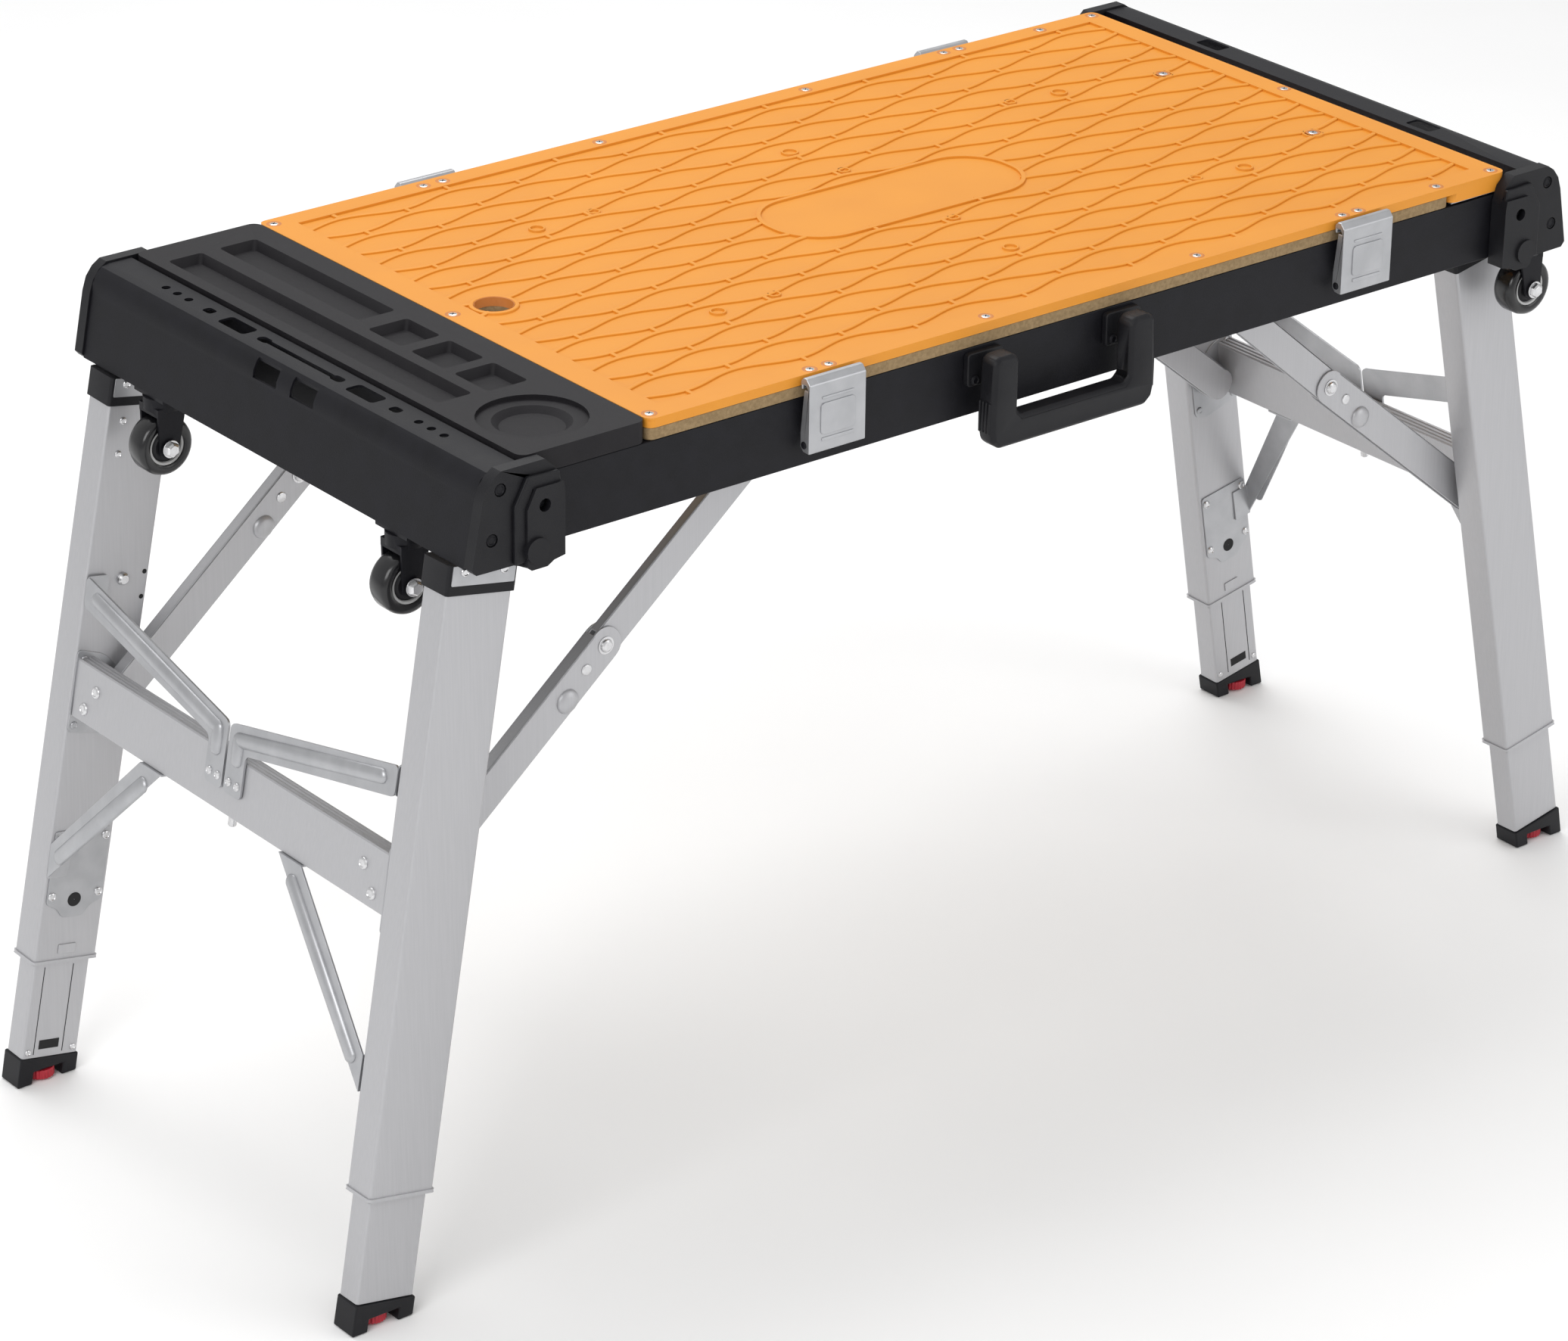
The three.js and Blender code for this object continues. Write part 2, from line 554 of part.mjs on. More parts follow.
for (const frame of LEG_FRAMES) {
  for (const end of ENDS) {
    const trail = frame.side * CASTER_TRAIL;
    const place = [frame.side * (WHEEL_X - CASTER_TRAIL), end.y * frame.caster, AXLE_Z];
    const fork = piece(`caster_fork_${end.name}_${frame.name}`, casterFork(trail), blackPaint);
    fork.position.set(...place);
    const wheel = piece(`caster_wheel_${end.name}_${frame.name}`, casterWheel(), tyre);
    wheel.position.set(place[0] + trail, place[1], place[2]);
    bench.add(fork, wheel);
  }
}

// ---------- leg frames ----------
/** A leg's middle line is this far along its own length when it meets the floor. */
function legLength(splay) {
  return (PIVOT_Z + LEG_OFFSET * Math.sin(radians(splay))) / Math.cos(radians(splay));
}

function outerTube() {
  const section = tubeSection(TUBE_WIDTH, TUBE_DEPTH, TUBE_CORNER, TUBE_WALL);
  return raised(section, -TUBE_BOTTOM, -TUBE_TOP, 2);
}

/** A leg cap: a sleeve closed over the top of the tube, with an ear on each face that turns on the hinge. */
function legCap(side) {
  const wide = 2 * (GAP + CAP_WALL);
  const inside = rounded(TUBE_WIDTH + 2 * GAP, TUBE_DEPTH + 2 * GAP, TUBE_CORNER);
  const outside = rounded(TUBE_WIDTH + wide, TUBE_DEPTH + wide, TUBE_CORNER);
  const top = GAP - TUBE_TOP;
  let cap = raised(outside, -CAP_DROP, top + CAP_WALL, 2).subtract(raised(inside, -CAP_DROP - 1, top, 2));
  const hinge = -side * LEG_OFFSET;
  const face = (TUBE_DEPTH + wide) / 2;
  for (const y of [-face, face - EAR_THICKNESS]) {
    const to = y + EAR_THICKNESS;
    cap = cap.add(bar('y', EAR_RADIUS, y, to, [hinge, 0]));
    cap = cap.add(block([hinge - EAR_RADIUS, hinge + EAR_RADIUS], [y, to], [top + CAP_WALL / 2, 0]));
  }
  return cap;
}

function innerTube(length) {
  const section = tubeSection(INNER_WIDTH, INNER_DEPTH, 1.8, TUBE_WALL);
  const top = TUBE_BOTTOM - INNER_OVERLAP - LEG_TRAVEL;
  return raised(section, -(length - FOOT_HEIGHT), -top, 2);
}

/** A foot in the leg frame's own axes: a plug in the tube, a block cut level, and the wheel's slot. */
function foot(side, splay, length, way) {
  const tilt = Math.tan(radians(splay)) * -side;
  const half = FOOT_WIDTH / 2;
  const top = -(length - FOOT_HEIGHT) - GAP;
  const middle = side * LEG_OFFSET;
  const sole = (x) => -length + tilt * (x - middle);
  const shape = outline([
    [middle - half, sole(middle - half)], [middle + half, sole(middle + half)],
    [middle + half, top], [middle - half, top],
  ]);
  let body = pushedAlongY(shape, -FOOT_DEPTH / 2, FOOT_DEPTH / 2);
  const plug = [INNER_WIDTH / 2 - TUBE_WALL - 1, INNER_DEPTH / 2 - TUBE_WALL - 1];
  body = body.add(block([middle - plug[0], middle + plug[0]], [-plug[1], plug[1]], [top - 1, top + 10]));
  const reach = LEVEL_WHEEL_RADIUS + 2;
  const high = LEVEL_WHEEL_LIFT + LEVEL_WHEEL_WIDTH / 2 + 1;
  const slot = outline([
    [middle - reach, sole(middle - reach) - 1], [middle + reach, sole(middle + reach) - 1],
    [middle + reach, sole(middle + reach) + high], [middle - reach, sole(middle - reach) + high],
  ]);
  const from = way > 0 ? [-FOOT_DEPTH, LEVEL_WHEEL_RADIUS - 1.5] : [-LEVEL_WHEEL_RADIUS + 1.5, FOOT_DEPTH];
  return body.subtract(pushedAlongY(slot, from[0], from[1]));
}

function levelWheel() {
  const teeth = 24;
  const shape = new THREE.Shape();
  for (let i = 0; i < 2 * teeth; i += 1) {
    const turn = (Math.PI * i) / teeth;
    const radius = i % 2 === 0 ? LEVEL_WHEEL_RADIUS : LEVEL_WHEEL_RADIUS - 0.7;
    if (i === 0) shape.moveTo(radius, 0);
    else shape.lineTo(radius * Math.cos(turn), radius * Math.sin(turn));
  }
  return raised(shape, -LEVEL_WHEEL_WIDTH / 2, LEVEL_WHEEL_WIDTH / 2);
}

/** The rung between the legs: a hollow bar with four treads on top. */
function rung(side, spacing) {
  const x = [rungOut - RUNG_DEPTH, rungOut];
  const [top, bottom] = [RUNG_HEIGHT / 2 - RUNG_DROP, -RUNG_HEIGHT / 2 - RUNG_DROP];
  const section = [[x[0], bottom], [x[1], bottom], [x[1], top - 1]];
  const pitch = RUNG_DEPTH / 4;
  for (let i = 0; i < 4; i += 1) {
    const edge = x[1] - i * pitch;
    section.push([edge - 0.8, top], [edge - pitch + 1.2, top], [edge - pitch + 0.6, top - 1]);
  }
  section.push([x[0], top - 1]);
  const shape = outline(facing(side, section));
  const hollow = [
    [x[0] + RUNG_WALL, bottom + RUNG_WALL], [x[1] - RUNG_WALL, bottom + RUNG_WALL],
    [x[1] - RUNG_WALL, top - RUNG_WALL - 1], [x[0] + RUNG_WALL, top - RUNG_WALL - 1],
  ];
  const reach = legFace(spacing, RUNG_DROP - RUNG_HEIGHT / 2) - 2 * GAP;
  const inner = pushedAlongY(outline(facing(side, hollow)), -reach - 1, reach + 1);
  return pushedAlongY(shape, -reach, reach).subtract(inner);
}

/** Half the room between the legs of a frame, this far below its hinge line. */
function legFace(spacing, drop) {
  return spacing + drop * Math.tan(radians(LEG_FLARE)) - TUBE_DEPTH / 2;
}

/** The upper strut: two pressed arms that rise from a shared foot on the rung, flanged to the legs. */
function upperStrut(side, spacing) {
  const reach = legFace(spacing, UPPER_STRUT_DROP - STRUT_WIDTH) - 2 * GAP;
  const half = STRUT_WIDTH / 2;
  const rungTop = RUNG_HEIGHT / 2 - RUNG_DROP;
  const middle = rungTop + UPPER_STRUT_RISE;
  const end = -UPPER_STRUT_DROP;
  const foot = rungTop - 26;
  const shape = outline([
    [-STRUT_WIDTH, foot], [STRUT_WIDTH, foot], [STRUT_WIDTH, middle - half], [reach, end - half],
    [reach, end + half], [12, middle + half], [0, middle + half - 3], [-12, middle + half],
    [-reach, end + half], [-reach, end - half], [-STRUT_WIDTH, middle - half],
  ]);
  let strut = pushedAlongX(shape, strutOut - STEEL, strutOut);
  for (const way of [-1, 1]) {
    const y = [way * (reach - STEEL), way * reach].sort((a, b) => a - b);
    strut = strut.add(block([strutOut - 17, strutOut - STEEL / 2], y, [end - half, end + half]));
  }
  return side < 0 ? strut.mirror([1, 0, 0]) : strut;
}

/** A lower strut: one pressed arm from under the rung out to a leg, flanged at both ends. */
function lowerStrut(side, spacing, way) {
  const reach = legFace(spacing, LOWER_STRUT_DROP - STRUT_WIDTH) - 2 * GAP;
  const under = -RUNG_HEIGHT / 2 - RUNG_DROP - GAP;
  const half = STRUT_WIDTH / 2 + 2;
  const end = -LOWER_STRUT_DROP;
  const shape = outline([
    [LOWER_STRUT_Y - half, under], [reach, end - half], [reach, end + half], [LOWER_STRUT_Y + half, under],
  ]);
  let strut = pushedAlongX(shape, strutOut - STEEL, strutOut);
  const flange = [strutOut - 16, strutOut - STEEL / 2];
  strut = strut.add(block(flange, [LOWER_STRUT_Y - half, LOWER_STRUT_Y + half], [under - STEEL, under]));
  strut = strut.add(block(flange, [reach - STEEL, reach], [end - half, end + half]));
  if (way < 0) strut = strut.mirror([0, 1, 0]);
  return side < 0 ? strut.mirror([1, 0, 0]) : strut;
}

/** A brace link between two places in X and Z, with round ends. */
function link(from, to, layer, way) {
  const length = Math.hypot(to[0] - from[0], to[1] - from[1]);
  const shape = new THREE.Shape();
  shape.absarc(0, 0, LINK_RADIUS, Math.PI / 2, 1.5 * Math.PI);
  shape.absarc(length, 0, LINK_RADIUS, -Math.PI / 2, Math.PI / 2);
  const geometry = extrusion(shape, layer[1] - layer[0], 6);
  geometry.rotateX(Math.PI / 2);
  geometry.rotateY(-Math.atan2(to[1] - from[1], to[0] - from[0]));
  geometry.translate(from[0], way < 0 ? -layer[0] : layer[1], from[1]);
  return solid(geometry);
}

function legFrame({ name, side, splay, spacing }) {
  const frame = new THREE.Group();
  frame.position.set(side * PIVOT_X, 0, PIVOT_Z);
  frame.rotation.y = -side * radians(splay);
  const length = legLength(splay);
  for (const end of ENDS) {
    const leg = new THREE.Group();
    leg.position.set(side * LEG_OFFSET, end.y * spacing, 0);
    leg.rotation.x = end.y * radians(LEG_FLARE);
    const label = `${end.name}_${name}`;
    leg.add(piece(`leg_tube_${label}`, outerTube(), greyPaint));
    leg.add(piece(`leg_cap_${label}`, legCap(side), blackPlastic));
    leg.add(piece(`leg_extension_${label}`, innerTube(length), greyPaint));
    frame.add(leg);
    const footY = end.y * (spacing + length * Math.tan(radians(LEG_FLARE)));
    const pad = piece(`foot_${label}`, foot(side, splay, length, end.y), blackPlastic);
    pad.position.y = footY;
    const wheel = piece(`level_wheel_${label}`, levelWheel(), redPlastic);
    wheel.position.set(side * LEG_OFFSET, footY - end.y * 2, -length);
    wheel.rotation.y = side * radians(splay);
    wheel.translateZ(LEVEL_WHEEL_LIFT);
    frame.add(pad, wheel, piece(`lower_strut_${label}`, lowerStrut(side, spacing, end.y), zinc));
  }
  frame.add(piece(`rung_${name}`, rung(side, spacing), greyPaint));
  frame.add(piece(`upper_strut_${name}`, upperStrut(side, spacing), zinc));
  return frame;
}

/** The brace between a leg and its hanger: two links that meet at the knuckle. */
function brace(frame, end) {
  const layers = braceLayers(frame.spacing);
  const place = ([inboard, up]) => [frame.side * (PIVOT_X - inboard), PIVOT_Z + up];
  const knuckle = place(BRACE_KNUCKLE);
  const hanger = place([frame.hanger, BRACE_HANGER_RISE]);
  const turn = radians(frame.splay);
  const out = braceOut * Math.cos(turn) + BRACE_LEG_DROP * Math.sin(turn);
  const down = BRACE_LEG_DROP * Math.cos(turn) - braceOut * Math.sin(turn);
  const onLeg = [frame.side * (PIVOT_X + out), PIVOT_Z - down];
  const label = `${end.name}_${frame.name}`;
  const upper = link(knuckle, hanger, layers.upper, end.y);
  const spacer = [layers.lower[1] - 1, legFace(frame.spacing, BRACE_LEG_DROP) - 2 * GAP];
  const y = spacer.map((value) => end.y * value).sort((a, b) => a - b);
  const lower = link(onLeg, knuckle, layers.lower, end.y).add(bar('y', 6, y[0], y[1], onLeg, 16));
  return [piece(`brace_upper_${label}`, upper, zinc), piece(`brace_lower_${label}`, lower, zinc)];
}

for (const frame of LEG_FRAMES) {
  bench.add(legFrame(frame));
  for (const end of ENDS) bench.add(...brace(frame, end));
}

export default bench;
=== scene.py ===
# %% [markdown]
# A folding work platform bench, built piece by piece around its measured frame.
# Each step says what the real piece is, how it could be made and why this way was chosen.
# Sizes are in metres. X runs along the bench, the carrying handle is on the -Y side, and Z is up.

# %% Load the frame
import json
import math

import bmesh
import bpy
from mathutils import Matrix, Vector


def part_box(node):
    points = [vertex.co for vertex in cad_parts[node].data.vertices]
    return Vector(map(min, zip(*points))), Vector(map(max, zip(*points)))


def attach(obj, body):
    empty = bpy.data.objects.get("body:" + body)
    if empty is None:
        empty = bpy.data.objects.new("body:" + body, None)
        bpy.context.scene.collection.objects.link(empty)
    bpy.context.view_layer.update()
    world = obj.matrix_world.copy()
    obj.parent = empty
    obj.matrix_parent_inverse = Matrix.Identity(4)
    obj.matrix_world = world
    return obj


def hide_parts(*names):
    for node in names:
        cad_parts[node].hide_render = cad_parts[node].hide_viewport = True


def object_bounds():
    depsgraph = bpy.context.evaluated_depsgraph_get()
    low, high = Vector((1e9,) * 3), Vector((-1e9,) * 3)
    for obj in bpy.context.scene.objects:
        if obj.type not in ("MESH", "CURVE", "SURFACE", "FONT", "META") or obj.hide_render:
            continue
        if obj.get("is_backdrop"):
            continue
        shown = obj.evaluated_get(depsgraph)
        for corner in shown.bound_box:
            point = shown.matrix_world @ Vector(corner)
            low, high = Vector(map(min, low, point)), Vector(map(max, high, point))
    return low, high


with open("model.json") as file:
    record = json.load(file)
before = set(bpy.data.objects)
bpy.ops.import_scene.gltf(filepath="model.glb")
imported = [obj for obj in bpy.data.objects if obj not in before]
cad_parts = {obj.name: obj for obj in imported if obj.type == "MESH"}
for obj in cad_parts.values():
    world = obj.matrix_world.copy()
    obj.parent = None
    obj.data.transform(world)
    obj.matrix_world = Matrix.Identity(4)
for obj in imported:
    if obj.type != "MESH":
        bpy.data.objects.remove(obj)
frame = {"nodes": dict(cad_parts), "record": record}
cad_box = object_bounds()
nodes = frame["nodes"]
record = frame["record"]
body_of = {node: body for body, names in record["behaviour"]["bodies"].items() for node in names}
slot_of = {entry["node"]: entry["material_slot"] for entry in record["subparts"]}
joints = {joint["name"]: joint for joint in record["behaviour"]["joints"]}
MM = 0.001
SIDES = {"left": -1, "right": 1}
ENDS = {"front": -1, "back": 1}
CORNERS = [(end, side) for end in ENDS for side in SIDES]
print("nodes:", len(nodes), "joints:", len(joints))

# %% [markdown]
# Every finish is a Principled shader with a little variation from noise: real paint, plate and
# moulded plastic are never one flat colour. A picture could do it, but noise on Object coordinates
# needs no picture, has a real size in millimetres and stays on the piece when the piece moves.
# The helper takes two close colours, the grain in lumps per metre, and how rough and bumpy it is.

# %% The finish helper
def finish(name, colour, other, roughness, metallic=0.0, grain=40, fine=900, bump=0.05,
           stretch=(1, 1, 1), coat=0.0, shine=0.5):
    material = bpy.data.materials.new(name)
    material.use_nodes = True
    tree = material.node_tree
    shader = tree.nodes["Principled BSDF"]
    shader.inputs["Metallic"].default_value = metallic
    shader.inputs["Coat Weight"].default_value = coat
    shader.inputs["Specular IOR Level"].default_value = shine
    shader.inputs["Coat Roughness"].default_value = 0.12
    place = tree.nodes.new("ShaderNodeTexCoord")
    scale = tree.nodes.new("ShaderNodeMapping")
    scale.inputs["Scale"].default_value = stretch
    tree.links.new(place.outputs["Object"], scale.inputs["Vector"])
    broad = tree.nodes.new("ShaderNodeTexNoise")
    broad.inputs["Scale"].default_value = grain
    broad.inputs["Detail"].default_value = 6
    tree.links.new(scale.outputs["Vector"], broad.inputs["Vector"])
    tint = tree.nodes.new("ShaderNodeValToRGB")
    tint.color_ramp.elements[0].position = 0.35
    tint.color_ramp.elements[1].position = 0.68
    tint.color_ramp.elements[0].color = (*colour, 1)
    tint.color_ramp.elements[1].color = (*other, 1)
    tree.links.new(broad.outputs["Fac"], tint.inputs["Fac"])
    tree.links.new(tint.outputs["Color"], shader.inputs["Base Color"])
    gloss = tree.nodes.new("ShaderNodeMapRange")
    gloss.inputs["To Min"].default_value = roughness - 0.07
    gloss.inputs["To Max"].default_value = roughness + 0.07
    tree.links.new(broad.outputs["Fac"], gloss.inputs["Value"])
    tree.links.new(gloss.outputs["Result"], shader.inputs["Roughness"])
    tiny = tree.nodes.new("ShaderNodeTexNoise")
    tiny.inputs["Scale"].default_value = fine
    tiny.inputs["Detail"].default_value = 3
    tree.links.new(scale.outputs["Vector"], tiny.inputs["Vector"])
    relief = tree.nodes.new("ShaderNodeBump")
    relief.inputs["Strength"].default_value = bump
    relief.inputs["Distance"].default_value = 0.0004
    tree.links.new(tiny.outputs["Fac"], relief.inputs["Height"])
    tree.links.new(relief.outputs["Normal"], shader.inputs["Normal"])
    return material


print("settings of a finish:", finish.__code__.co_argcount)

# %% [markdown]
# The finishes. Powder coat and moulded plastic are dark with a fine orange-peel relief. The legs are
# drawn aluminium-grey tube, whose faint streaks run along the leg, so their pattern is stretched.
# The braces and latches are zinc plate, which is mottled rather than streaked.

# %% The finishes
ALONG_LEG = (30, 30, 0.5)  # the pattern is squeezed across the leg and drawn out along it
black_paint = finish("black_paint", (0.005, 0.005, 0.007), (0.008, 0.008, 0.011), 0.5, 0, 60, 1400, 0.25,
                     shine=0.2)
black_plastic = finish("black_plastic", (0.006, 0.006, 0.008), (0.010, 0.010, 0.012), 0.48, 0, 50, 2200, 0.3,
                       shine=0.25)
tray_plastic = finish("tray_plastic", (0.012, 0.011, 0.013), (0.016, 0.015, 0.017), 0.52, 0, 50, 2600, 0.35,
                      shine=0.16)
orange = finish("orange_plastic", (0.70, 0.270, 0.024), (0.73, 0.290, 0.029), 0.5, 0, 14, 1500, 0.1,
                shine=0.3)
board_face = finish("fibreboard", (0.24, 0.165, 0.085), (0.32, 0.225, 0.12), 0.9, 0, 420, 1600, 0.5,
                    shine=0.2)
silver = finish("silver_paint", (0.45, 0.45, 0.465), (0.475, 0.475, 0.49), 0.42, 0.55, 30, 900, 0.06,
                ALONG_LEG)
zinc = finish("zinc_steel", (0.40, 0.405, 0.42), (0.46, 0.465, 0.48), 0.38, 0.75, 60, 900, 0.06)
steel = finish("bright_steel", (0.62, 0.62, 0.63), (0.72, 0.72, 0.73), 0.28, 0.95, 200, 1200, 0.05)
red_plastic = finish("red_plastic", (0.36, 0.010, 0.022), (0.42, 0.014, 0.030), 0.45, 0, 80, 1800, 0.15)
tread = finish("glossy_tread", (0.004, 0.004, 0.005), (0.007, 0.007, 0.008), 0.22, 0, 80, 900, 0.05, coat=0.1)
hub_plastic = finish("pale_hub", (0.42, 0.42, 0.42), (0.50, 0.50, 0.49), 0.4, 0, 90, 1500, 0.1)
# The next finish is painted shade: near black, laid where slots, holes, a window and grooves are sunk, for
# the shade inside them.
dark_gap = finish("dark_gap", (0.004, 0.004, 0.005), (0.008, 0.008, 0.009), 0.8, 0, 90, 900, 0.1)
print("finishes:", len(bpy.data.materials))

# %% [markdown]
# Most pieces start as a small mesh that bmesh operators shape, and end the same way: doubles are
# merged, the faces are turned outwards, the piece gets its finish and is told which body it rides on.
# One helper does that, so every later cell is only about the shape. A bevel rounds the edges,
# because sheet metal and mouldings never have knife edges, and the thin highlight there looks real.

# %% Finish a piece
def finished(shape, name, material, body, slot, edge=0.0, steps=2, angle=35):
    bmesh.ops.remove_doubles(shape, verts=shape.verts, dist=1e-6)
    bmesh.ops.recalc_face_normals(shape, faces=shape.faces)
    mesh = bpy.data.meshes.new(name)
    shape.to_mesh(mesh)
    shape.free()
    mesh.shade_smooth()
    mesh.set_sharp_from_angle(angle=math.radians(angle))
    mesh.materials.append(material)
    piece = bpy.data.objects.new(name, mesh)
    bpy.context.collection.objects.link(piece)
    if edge:
        bevel = piece.modifiers.new("edge", "BEVEL")
        bevel.width = edge
        bevel.segments = steps
        bevel.limit_method = "ANGLE"
        bevel.angle_limit = math.radians(angle)
        bevel.harden_normals = True
    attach(piece, body)
    return piece


print("edges are rounded where faces meet at more than", finished.__defaults__[-1], "degrees")

# %% [markdown]
# Where the measured solid already has the right outline, a copy of it is merged back into clean
# faces and only its edges are rounded. Modelling it again would only risk a worse fit.

# %% Round the edges of a measured solid
def copied(node):
    shape = bmesh.new()
    shape.from_mesh(nodes[node].data)
    bmesh.ops.remove_doubles(shape, verts=shape.verts, dist=2e-6)
    bmesh.ops.dissolve_limit(shape, angle_limit=math.radians(0.6), verts=shape.verts, edges=shape.edges)
    return shape


def softened(node, material, edge, steps=2, angle=35):
    piece = finished(copied(node), node + "_look", material, body_of[node], slot_of[node], edge, steps, angle)
    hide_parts(node)
    return piece


sample = copied("end_beam_left")
print("faces of an end beam:", len(nodes["end_beam_left"].data.polygons), "merged to", len(sample.faces))
sample.free()

# %% [markdown]
# Small shapes are wanted again and again: a plate cut from sheet, a round button, a pressed bead, a
# ring. Each is drawn flat at the origin and then put in place by one matrix, whose Z is the way it
# faces. They are collected in one mesh per group, since rivets of one strut never move apart.

# %% Plates, buttons, beads and rings
BEAD_SINK = 0.3 * MM  # how far a bead goes into the sheet it stands on


def placed(origin, normal, along):
    up = Vector(normal).normalized()
    ahead = Vector(along)
    ahead = (ahead - up * ahead.dot(up)).normalized()
    turn = Matrix((ahead, up.cross(ahead), up)).transposed().to_4x4()
    return Matrix.Translation(Vector(origin)) @ turn


def facing(origin, across, upward, normal):
    """A place given by all three of its axes. It may be a mirrored one, which gather turns right side out."""
    turn = Matrix((across, upward, normal)).transposed().to_4x4()
    return Matrix.Translation(Vector(origin)) @ turn


def extruded(part, faces):
    """Extrudes some faces where they are and gives the new corners, ready to be moved."""
    made = bmesh.ops.extrude_face_region(part, geom=faces)["geom"]
    return [item for item in made if isinstance(item, bmesh.types.BMVert)]


def gather(shape, part, place):
    """Moves a small shape into place and adds it to a bigger one."""
    bmesh.ops.recalc_face_normals(part, faces=part.faces)
    bmesh.ops.transform(part, matrix=place, verts=part.verts)
    if place.determinant() < 0:
        bmesh.ops.reverse_faces(part, faces=part.faces)
    holder = bpy.data.meshes.new("holder")
    part.to_mesh(holder)
    part.free()
    shape.from_mesh(holder)
    bpy.data.meshes.remove(holder)


def plate(shape, points, thickness, place, corner=0.0):
    """A flat outline with rounded corners, raised to a thickness."""
    part = bmesh.new()
    verts = [part.verts.new((x, y, 0)) for x, y in points]
    part.faces.new(verts)
    if corner:
        bmesh.ops.bevel(part, geom=verts, offset=corner, segments=5, profile=0.5, affect="VERTICES",
                        material=-1)
    bmesh.ops.translate(part, vec=(0, 0, thickness), verts=extruded(part, part.faces[:]))
    gather(shape, part, place)


def rectangle(x, y):
    return [(x[0], y[0]), (x[1], y[0]), (x[1], y[1]), (x[0], y[1])]


def button(shape, radius, height, place, hollow=False, sides=20):
    """A low round head with a rounded rim, with a dimple in it if it is a pulled rivet."""
    part = bmesh.new()
    bmesh.ops.create_circle(part, cap_ends=True, radius=radius, segments=sides)
    for size, rise in ((1.0, 0.35), (0.9, 0.35), (0.66, 0.3)):
        face = max(part.faces, key=lambda f: f.calc_center_median().z)
        rim = extruded(part, [face])
        now = rim[0].co.xy.length
        bmesh.ops.translate(part, vec=(0, 0, height * rise), verts=rim)
        bmesh.ops.scale(part, vec=(radius * size / now, radius * size / now, 1), verts=rim)
    if hollow:
        face = max(part.faces, key=lambda f: f.calc_center_median().z)
        bmesh.ops.inset_region(part, faces=[face], thickness=radius * 0.3)
        bmesh.ops.translate(part, vec=(0, 0, -height * 0.8), verts=face.verts)
    gather(shape, part, place)


def bead(shape, length, width, height, place):
    """A long ridge with round ends, as pressed into sheet: half of a stretched ball."""
    part = bmesh.new()
    bmesh.ops.create_uvsphere(part, u_segments=20, v_segments=10, radius=0.5)
    bmesh.ops.rotate(part, matrix=Matrix.Rotation(math.radians(90), 3, "Y"), verts=part.verts)
    bmesh.ops.scale(part, vec=(width, width, 2 * height), verts=part.verts)
    half = (length - width) / 2
    for side in (-1, 1):
        end = [v for v in part.verts if v.co.x * side > 1e-6]
        bmesh.ops.translate(part, vec=(side * half, 0, 0), verts=end)
    for vert in part.verts:
        vert.co.z = max(vert.co.z, -BEAD_SINK)
    gather(shape, part, place)


def turned(shape, profile, place, sides=48):
    """A profile of (radius, height) spun about Z, closed on itself."""
    part = bmesh.new()
    verts = [part.verts.new((r, 0, h)) for r, h in profile]
    edges = [part.edges.new((verts[i], verts[(i + 1) % len(verts)])) for i in range(len(verts))]
    bmesh.ops.spin(part, geom=verts + edges, cent=(0, 0, 0), axis=(0, 0, 1), angle=2 * math.pi, steps=sides,
                   use_merge=True)
    bmesh.ops.remove_doubles(part, verts=part.verts, dist=1e-6)
    gather(shape, part, place)


print("small shapes: plate, button, bead, turned")

# %% [markdown]
# The two end beams and the two side rails are folded steel with a satin black powder coat. Their folds have a
# small radius, which a narrow bevel on the measured solid gives. A dark sheet, painted shade, closes the
# inner side of the tray end's beam, so that its windows show dark and don't look right through.

# %% Beams and rails
for side in SIDES:
    softened(f"end_beam_{side}", black_paint, 0.7 * MM, 3, 30)
for end in ENDS:
    softened(f"side_rail_{end}", black_paint, 0.7 * MM, 3)
beam_low, beam_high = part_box("end_beam_left")
# This sheet is painted shade: a dark sheet behind the beam's windows, where the inside of the beam is in
# shade.
lining = bmesh.new()
upright = facing((beam_high.x - 3.4 * MM, 0, 0), (0, 1, 0), (0, 0, 1), (1, 0, 0))
plate(lining, rectangle((-0.17, 0.17), (beam_low.z + 14 * MM, beam_high.z - 2.5 * MM)), 1 * MM, upright)
finished(lining, "beam_shade_sheet", black_plastic, "frame", "black_steel")
rail_low, rail_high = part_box("side_rail_front")
print("beam height", round(beam_high.z - beam_low.z, 4), "rail height", round(rail_high.z - rail_low.z, 4))

# %% [markdown]
# The corner brackets are thick black mouldings. Their edges are softer than the steel's, and a step
# runs round the raised pad. A dark round-headed screw sits deep in each of the three holes. The
# screws are one shape, put in each hole.

